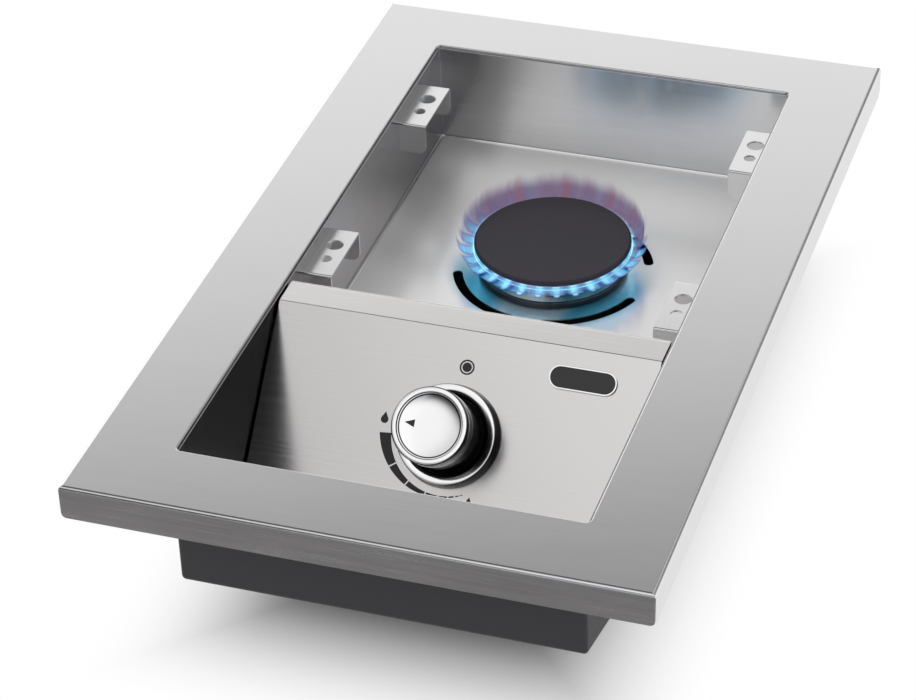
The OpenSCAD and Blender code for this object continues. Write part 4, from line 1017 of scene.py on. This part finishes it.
def make_knob():
    """The knob's grip, band, front ring and dished face, all turned."""
    _, flare_r, low, _ = turned_size("knob_body", KNOB_PLACE)
    ring_in, r, ring_low, ring_top = turned_size("knob_ring", KNOB_PLACE)
    _, _, band_low, band_top = turned_size("knob_band", KNOB_PLACE)
    _, face_r, seat, face_top = turned_size("knob_face", KNOB_PLACE)

    grip_r, flare, hub_low = r - BAND_PROUD, FLARE_HEIGHT, low + HUB_IN
    wall, roof = grip_r - KNOB_WALL, band_low - KNOB_ROOF
    body = turned("knob_grip", "knob_body", [
        (STEM_BORE_R, hub_low), (HUB_R, hub_low), (HUB_R, roof), (wall, roof), (wall, low),
        (flare_r, low), (flare_r, low + flare), (grip_r, low + 2 * flare),
        (grip_r, ring_low), (STEM_BORE_R, ring_low),
    ], [0, 0, 0, 0, 0, *GRIP_ROUNDS, 0, 0], ["knob_black", "satin_chrome"], KNOB_PLACE, KNOB)
    # A painted highlight: the flare's lip is given satin chrome where it catches the light
    paint_rings(body, (flare_r - FLARE_HIGHLIGHT_W, flare_r))

    turned("knob_band_turned", "knob_band", [
        (grip_r, band_low), (r, band_low), (r, band_top), (grip_r, band_top),
    ], [0, ROUND, ROUND, 0], ["satin_chrome"], KNOB_PLACE, KNOB)

    bright_and_black = ["bright_chrome", "knob_black"]
    front = turned("knob_ring_turned", "knob_ring", [
        (ring_in, ring_low), (r, ring_low), (r, ring_top), (face_r, ring_top),
        (face_r, seat), (ring_in, seat),
    ], [0, SMALL_ROUND, RING_ROUND, SMALL_ROUND, 0, 0], bright_and_black, KNOB_PLACE, KNOB)
    paint_rings(front, (r - RING_RIM, r + MM), (0, face_r + RING_RIM / 4))

    centre = turned_size("knob_pointer", KNOB_PLACE)[2]
    dish = [(face_r * k / DISH_STEPS, centre + (face_top - centre) * (k / DISH_STEPS) ** DISH_POWER)
            for k in range(DISH_STEPS)]
    rim = face_r - SEAM / 4
    profile = [(rim, seat), (rim, face_top)] + dish[::-1] + [(0, seat)]
    radii = [0, FINE_ROUND] + [0] * (DISH_STEPS + 1)
    face = turned("knob_disc", "knob_face", profile, radii, bright_and_black, KNOB_PLACE, KNOB)
    paint_rings(face, (FACE_LINE_R, FACE_LINE_R + FACE_LINE_W))
    face.data.set_sharp_from_angle(angle=TURNED_ANGLE)


def make_spring():
    """The stem's spring, a coil on a mesh of its own; the real one shortens as the knob is pushed in."""
    inner, outer, low, high = turned_size("stem_spring", KNOB_PLACE)
    wire, middle = (outer - inner) / 2, (outer + inner) / 2
    steps = SPRING_TURNS * SPRING_STEPS
    rings = []
    for s in range(steps + 1):
        turn = 2 * pi * SPRING_TURNS * s / steps
        out = Vector((cos(turn), sin(turn), 0))
        centre = out * middle + Vector((0, 0, low + wire + (high - low - 2 * wire) * s / steps))
        rings.append([centre + p[0] * out + p[1] * Vector(UP) for p in ring(wire, 0, WIRE_SIDES)])
    bm = bmesh.new()
    capped(bm, rings)
    spring = closed_object("spring_coil", bm, "plated_steel", place=KNOB_PLACE)
    stand_for(spring, "stem_spring", ROTOR)
    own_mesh(spring)


def make_bezel():
    """The bright ring round the knob, with its outer wall and inner edge painted dark as painted
    reflection and shade, and the black well inside it.
    """
    _, liner_r, _, liner_top = turned_size("bezel_liner", KNOB_PLACE)
    _, outer, _, top = turned_size("bezel", KNOB_PLACE)
    inner, shoulder = liner_r + SHEET_GAP / 6, outer - BEZEL_TAPER
    bezel = turned("bezel_turned", "bezel", [
        (inner, 0), (outer, 0), (shoulder, top), (inner, top),
    ], [0, FINE_ROUND, BEZEL_ROUND, BEZEL_ROUND], ["bright_chrome", "dark_nickel"], KNOB_PLACE)
    # The outer wall and inner edge take the dark chrome: painted dark reflection and painted shade
    paint_rings(bezel, (shoulder - RING_RIM / 4, outer), (0, inner + RING_RIM / 2))

    wall = liner_r - LINER_WALL
    turned("liner_turned", "bezel_liner", [
        (LINER_HOLE_R, 0), (liner_r, 0), (liner_r, liner_top), (wall, liner_top),
        (wall, LINER_WALL), (LINER_HOLE_R, LINER_WALL),
    ], [0, 0, FINE_ROUND, SMALL_ROUND, WELL_ROUND, FINE_ROUND], ["liner_black"], KNOB_PLACE)


def make_name_plate():
    """The blank plate: a bright rim round a black inlay."""
    low, high = local_box("name_plate", KNOB_PLACE)
    inlay_low, inlay_high = local_box("name_plate_inlay", KNOB_PLACE)

    def pill(a, b):
        return rounded_rect(a.x, b.x, a.y, b.y, (b.y - a.y) * PLATE_ROUND)

    rim = prism("plate_rim", pill(low, high), low.z, high.z, "bright_chrome")
    field = pill(inlay_low, inlay_high)
    carve(rim, [prism("cutter", field, inlay_low.z, 2 * high.z, "plain_steel")])
    inlay = prism("plate_field", field, inlay_low.z, inlay_high.z, "plate_black")
    for obj, node in ((rim, "name_plate"), (inlay, "name_plate_inlay")):
        obj.matrix_world = KNOB_PLACE
        finish_edges(obj, PLATE_EDGE)
        stand_for(obj, node)


def make_tray_screws():
    """The six pan-head screws with cross recesses that hold the tray to the casing."""
    low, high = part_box("tray_screws")
    seat, z = high[0] - SCREW_HEAD_H, (low[2] + high[2]) / 2
    tip = -SCREW_HEAD_H - SCREW_SHANK
    outline = cross_outline(SCREW_CROSS, SCREW_CROSS / 5)
    profile = rounded_outline([
        (0, tip), (SCREW_SHANK_R, tip), (SCREW_SHANK_R, 0),
        (SCREW_HEAD_R, 0), (SCREW_HEAD_R, SCREW_HEAD_H), (0, SCREW_HEAD_H),
    ], [0, 0, 0, SCREW_FOOT, SCREW_ROUND, 0])
    ends = [at_height(outline, h) for h in (SCREW_HEAD_H / 3, 2 * SCREW_HEAD_H)]
    heads, recesses = bmesh.new(), bmesh.new()
    for side in (-1, 1):
        for y in (low[1] + SCREW_HEAD_R, SCREW_MIDDLE_Y, high[1] - SCREW_HEAD_R):
            place = facing((side * seat, y, z), (side, 0, 0))
            add_turning(heads, profile, place, SCREW_STEPS)
            capped(recesses, [[place @ Vector(p) for p in points] for points in ends])
    screws = closed_object("screw_heads", heads, "plated_steel")
    carve(screws, [cutter(recesses)])
    finish_edges(screws, SCREW_EDGE)
    stand_for(screws, "tray_screws")


def cross_outline(reach, half):
    """A plus sign, as far as reach and twice half wide."""
    quarter = [(reach, half), (half, half), (half, reach)]
    points = []
    for k in range(4):
        turn = Matrix.Rotation(pi / 2 * k, 2)
        points += [turn @ Vector(p) for p in quarter]
    return points


def make_inlet():
    """The gas inlet: a chamfered hexagon and a threaded stub with its seat cone."""
    low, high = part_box("inlet_fitting")
    tray_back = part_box("base_tray")[1][1]
    middle = middle_of("inlet_locknut")
    place = facing((middle.x, tray_back, middle.z), (0, 1, 0))
    inner, end = low[1] - tray_back, high[1] - tray_back
    thread_top = end - INLET_NOSE
    ridges = int((thread_top - INLET_HEX_T) / THREAD_PITCH)
    profile = [(INLET_BORE_R, inner), (INLET_BODY_R, inner), (INLET_BODY_R, INLET_HEX_T)]
    for k in range(ridges):
        h = INLET_HEX_T + k * THREAD_PITCH
        profile += [(INLET_R - THREAD_DEPTH, h), (INLET_R, h + THREAD_PITCH / 2)]
    profile += [(INLET_R - THREAD_DEPTH, thread_top), (INLET_BORE_R + THREAD_DEPTH, end)]
    profile.append((INLET_BORE_R, end))
    bm = bmesh.new()
    add_turning(bm, profile, Matrix(), INLET_STEPS)
    stub = closed_object("inlet_stub", bm, "brass", place=place)
    stand_for(stub, "inlet_fitting")

    r, rise = middle.z - low[2], INLET_CHAMFER / 2
    levels = (INLET_CHAMFER, 0), (0, rise), (0, INLET_HEX_T - rise), (INLET_CHAMFER, INLET_HEX_T)
    bm = bmesh.new()
    capped(bm, [ring(r - inset, h, 6) for inset, h in levels])
    hexagon = closed_object("inlet_hexagon", bm, "brass", place=place)
    finish_edges(hexagon, INLET_EDGE)
    add_on(hexagon)


def bezier(points, count):
    """Points along a curve with the given control points."""
    out = []
    for i in range(count + 1):
        row = [Vector(p) for p in points]
        while len(row) > 1:
            row = [a.lerp(b, i / count) for a, b in zip(row, row[1:])]
        out.append(row[0])
    return out


def crown(name, finish, reach):
    """A sheet of flame round the burner, along a curve of (radius, height) controls in mm."""
    bm = bmesh.new()
    flow = bm.verts.layers.float.new("flow")
    rows = loft(bm, [ring(r * MM, h * MM, PORTS * PORT_STEPS) for r, h in bezier(reach, FLAME_STEPS)])
    for i, row in enumerate(rows):
        for vert in row:
            vert[flow] = i / FLAME_STEPS
    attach(new_object(name, bm, finish, place=BURNER_PLACE), UNIT)


def flame_base(name):
    """A see-through glowing material, with the share of its flow and its own x and y."""
    nodes = new_material(name, (0, 0, 0), 0.0, 1.0, Specular_IOR_Level=0.0, Emission_Strength=1.0)
    x, y, _ = nodes.axes()
    return nodes, nodes.add("Attribute", attribute_name="flow")["Fac"], x, y


def tongue_material(name, core, rim, tip, opacity, wide, ends):
    """Tongues of flame, one to a port, that narrow and fade as they rise.

    ends holds how much of them is left at the very front and the very back.
    """
    nodes, flow, x, y = flame_base(name)
    port = nodes.times(nodes.math("ARCTAN2", y, x), PORTS / (2 * pi))
    number = nodes.math("FLOOR", port)
    across = nodes.math("SUBTRACT", nodes.math("SUBTRACT", port, number), 0.5)
    own = nodes.add("TexWhiteNoise", noise_dimensions="1D", W=number)["Value"]
    height = nodes.math("ADD", nodes.times(own, FLAME_SPREAD), 1 - FLAME_SPREAD)
    along = nodes.math("DIVIDE", flow, height)
    taper = nodes.math("POWER", nodes.math("SUBTRACT", 1.0, along, True), FLAME_TAPER)
    width = nodes.math("ADD", nodes.times(taper, wide), 0.001)
    off_middle = nodes.math("DIVIDE", nodes.math("ABSOLUTE", across), width)
    edge = nodes.smooth(off_middle, *FLAME_FADE, 1.0, 0.0)
    fade = nodes.smooth(along, *FLAME_FADE, opacity, 0.0)
    fade = nodes.times(fade, nodes.smooth(y, *FLAME_FRONT, ends[0], 1.0))
    fade = nodes.times(fade, nodes.smooth(y, *FLAME_BACK, 1.0, ends[1]))
    nodes.set("Alpha", nodes.times(edge, fade, True))
    low = nodes.blend(nodes.smooth(off_middle, *CORE_TO_RIM), (*core, 1), (*rim, 1))
    nodes.set("Emission Color", nodes.blend(nodes.smooth(along, *FOOT_TO_TIP), low, (*tip, 1)))


def line_material(name, colour):
    """The unbroken bright line where the flames leave the cap's edge."""
    nodes, flow, _, _ = flame_base(name)
    off_middle = nodes.math("ABSOLUTE", nodes.math("SUBTRACT", flow, 0.5))
    flicker = nodes.smooth(nodes.noise(nodes.place(), FLICKER_GRAIN), 0.35, 0.6, 0.75, 1.0)
    edge = nodes.smooth(off_middle, *LINE_EDGE, 1.0, 0.0)
    nodes.set("Alpha", nodes.times(edge, flicker))
    nodes.set("Emission Color", (*colour, 1))


def haze_material(name, cool, warm):
    """The faint upper flames, denser and warmer towards the back, with streaks."""
    nodes, flow, x, y = flame_base(name)
    turn = nodes.add("CombineXYZ", X=nodes.math("ARCTAN2", y, x))
    streak = nodes.noise(turn[0], STREAK_GRAIN)
    along = nodes.math("DIVIDE", flow, nodes.smooth(streak, *MIDDLE_RANGE, 0.85, 1.0))
    fade = nodes.smooth(along, *FLAME_FADE, 1.0, 0.0)
    rise = nodes.times(nodes.smooth(along, 0.0, 0.12), fade)
    back = nodes.smooth(y, *HAZE_EDGE, 0.1, 0.95)
    dense = nodes.times(rise, nodes.smooth(streak, 0.25, 0.75, 0.8, 1.0))
    nodes.set("Alpha", nodes.times(dense, back))
    share = nodes.times(nodes.smooth(streak, 0.35, 0.75), nodes.smooth(y, *FLAME_BACK))
    nodes.set("Emission Color", nodes.blend(share, (*cool, 1), (*warm, 1)))


def make_flames():
    """Flame sheets round the burner, from the bright line at the cap to the faint haze on top."""
    tongue_material(
        "flame_core", (0.8, 1.3, 1.3), (0.0, 0.28, 0.85), (0.0, 0.04, 0.30), 1.0, 0.38, (1.0, 1.0))
    tongue_material(
        "flame_tongue", (0.20, 0.62, 0.95), (0.04, 0.20, 0.72), (0.07, 0.05, 0.33),
        0.85, 0.72, (0.8, 0.3))
    line_material("flame_line", (0.45, 1.2, 1.3))
    haze_material("flame_haze", (0.11, 0.08, 0.20), (0.23, 0.10, 0.16))
    crown("flame_line", "flame_line", ((45.5, 79.4), (47.2, 78.8), (48.6, 79.6), (48.8, 81)))
    crown("flame_roots", "flame_core", ((44.6, 79.8), (49, 77), (54, 75.5), (55.5, 80)))
    crown("flame_tongues", "flame_tongue", ((45.4, 80.2), (54, 76.5), (60.5, 82), (58, 97)))
    crown("flame_haze", "flame_haze", ((48.2, 81.5), (56, 83), (57, 92), (53, 102)))


def set_world():
    """White for the camera, bright and dark studio fields for metal, an even room else."""
    world = bpy.data.worlds.new("studio")
    bpy.context.scene.world = world
    world.use_nodes = True
    world.cycles.sampling_method = "NONE"
    nodes = Nodes(world.node_tree)
    toward = nodes.add("TexCoord")["Generated"]
    x, y, z = nodes.add("SeparateXYZ", Vector=toward)
    backdrop = nodes.smooth(z, *BACKDROP_EDGE, BACKDROP_LEVEL, CEILING_LEVEL)
    backdrop = nodes.math("ADD", backdrop, nodes.smooth(z, *LOW_BOOST_EDGE, LOW_BOOST, 0.0))
    azimuth = nodes.math("ARCTAN2", x, nodes.times(y, -1.0))
    high = nodes.smooth(azimuth, *FRONT_FADE, FRONT_FAR_LEVEL, FRONT_LEVEL)
    low = nodes.blend(nodes.smooth(azimuth, *FRONT_LOW_EDGE), FRONT_LOW_DARK, FRONT_LOW)
    front = nodes.blend(nodes.smooth(z, *FRONT_SPLIT), low, high)
    side_flag = nodes.smooth(z, *SIDE_FLAG_FADE, *SIDE_FLAG_LEVELS)
    side = nodes.smooth(x, *SIDE_FLAG_EDGE)
    backdrop = nodes.add("Mix", i0=side, i2=backdrop, i3=side_flag)[0]
    fields = nodes.blend(nodes.smooth(y, *FRONT_TO_BACK), front, backdrop)
    far = nodes.smooth(azimuth, *FLAG_FAR_EDGE, 1.0, 0.0)
    flag = nodes.times(nodes.smooth(azimuth, *FLAG_NEAR_EDGE), far)
    studio = nodes.blend(flag, fields, (FLAG_LEVEL, FLAG_LEVEL, FLAG_LEVEL, 1))
    rays = nodes.add("LightPath")
    level = nodes.blend(rays["Is Diffuse Ray"], studio, (ROOM_LEVEL, ROOM_LEVEL, ROOM_LEVEL, 1))
    shown = nodes.blend(rays["Is Camera Ray"], level, (1, 1, 1, 1))
    nodes.put(world.node_tree.nodes["Background"], "Color", shown)


def add_lamp(name, place, power):
    """A soft lamp, aimed at the unit, that metal doesn't mirror."""
    data = bpy.data.lights.new(name, "AREA")
    data.size = LAMP_SIZE
    data.energy = power
    lamp = bpy.data.objects.new(name, data)
    bpy.context.scene.collection.objects.link(lamp)
    toward = (-Vector(place)).to_track_quat("-Z", "Y")
    lamp.matrix_world = Matrix.Translation(place) @ toward.to_matrix().to_4x4()
    lamp.visible_glossy = False
    lamp.visible_camera = False


def new_flat(name, x, y, z, finish):
    """A level rectangle, from its two edges each way."""
    bm = bmesh.new()
    add_face(bm, at_height([(x[0], y[0]), (x[1], y[0]), (x[1], y[1]), (x[0], y[1])], z))
    return new_object(name, bm, finish)


def make_floor():
    """A pale floor that keeps the object's shadow and goes over into white beside it."""
    nodes = new_material("floor", (FLOOR_TONE,) * 3, 0.0, 0.9, Specular_IOR_Level=0.0)
    glow = nodes.add("Emission", Color=(1, 1, 1, 1), Strength=1.0)
    rays = nodes.add("LightPath")
    seen = nodes.math("MAXIMUM", rays["Is Camera Ray"], rays["Is Glossy Ray"])
    seen = nodes.math("MAXIMUM", seen, rays["Is Transmission Ray"])
    x, y, _ = nodes.axes()
    beside = nodes.math("SUBTRACT", nodes.math("ABSOLUTE", x), cad_box[1][0])
    ahead = nodes.math("SUBTRACT", nodes.math("ABSOLUTE", y), cad_box[1][1])
    share = nodes.smooth(nodes.math("MAXIMUM", beside, ahead), *SHADOW_REACH)
    share = nodes.times(seen, share)
    mix = nodes.add("MixShader", i0=share, i1=nodes.shader.outputs[0], i2=glow[0])
    nodes.put(nodes.tree.nodes["Material Output"], "Surface", mix[0])
    edges = (-FLOOR_HALF, FLOOR_HALF)
    new_flat("floor", edges, edges, -FLOOR_DROP, "floor")


def make_dark_card():
    """A dark studio card on the floor ahead of the unit, which only its metal mirrors."""
    new_material("card", (CARD_TONE,) * 3, 0.0, 1.0)
    card = new_flat("dark_card", CARD_X, CARD_Y, CARD_HEIGHT, "card")
    card.visible_camera = False
    card.visible_diffuse = False
    card.visible_shadow = False


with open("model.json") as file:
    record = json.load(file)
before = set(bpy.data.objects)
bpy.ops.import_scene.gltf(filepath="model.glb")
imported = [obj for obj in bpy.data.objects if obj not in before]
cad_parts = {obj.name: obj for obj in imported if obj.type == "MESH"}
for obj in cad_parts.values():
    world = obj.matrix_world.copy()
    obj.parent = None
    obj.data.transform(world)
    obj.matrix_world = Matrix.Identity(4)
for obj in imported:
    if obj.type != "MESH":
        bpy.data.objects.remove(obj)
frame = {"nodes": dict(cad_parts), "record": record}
slot_of = {part["node"]: part["material_slot"] for part in frame["record"]["subparts"]}
cad_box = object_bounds()
bpy.context.scene.view_settings.view_transform = "Standard"
set_camera()

hinge = next(j for j in frame["record"]["behaviour"]["joints"] if j["name"] == "valve_turn")
KNOB_AXIS = Vector(hinge["axis"]).normalized()
KNOB_TURN = Matrix(((1, 0, 0), KNOB_AXIS.cross(Vector((1, 0, 0))), KNOB_AXIS)).transposed()
KNOB_PLACE = Matrix.Translation(Vector(hinge["pos_m"])) @ KNOB_TURN.to_4x4()
BURNER_Y = middle_of("burner_head").y
BURNER_PLACE = Matrix.Translation((0, BURNER_Y, 0))

make_materials()
# Painted reflection of the flames on the pan
paint_flame_reflection()
dress_nodes()
make_frame_sheet()
make_casing_sheet()
make_pan_sheet()
make_panel_sheet()
make_tray_sheet()
for name, side in (("bracket_back_left", -1), ("bracket_back_right", 1),
                   ("bracket_front_left", -1), ("bracket_front_right", 1)):
    make_bracket(name, side)
make_burner()
make_knob()
make_spring()
make_bezel()
make_name_plate()
make_tray_screws()
make_inlet()
make_flames()

set_world()
make_floor()
make_dark_card()
add_lamp("key", KEY_PLACE, KEY_POWER)
add_lamp("fill", FILL_PLACE, FILL_POWER)
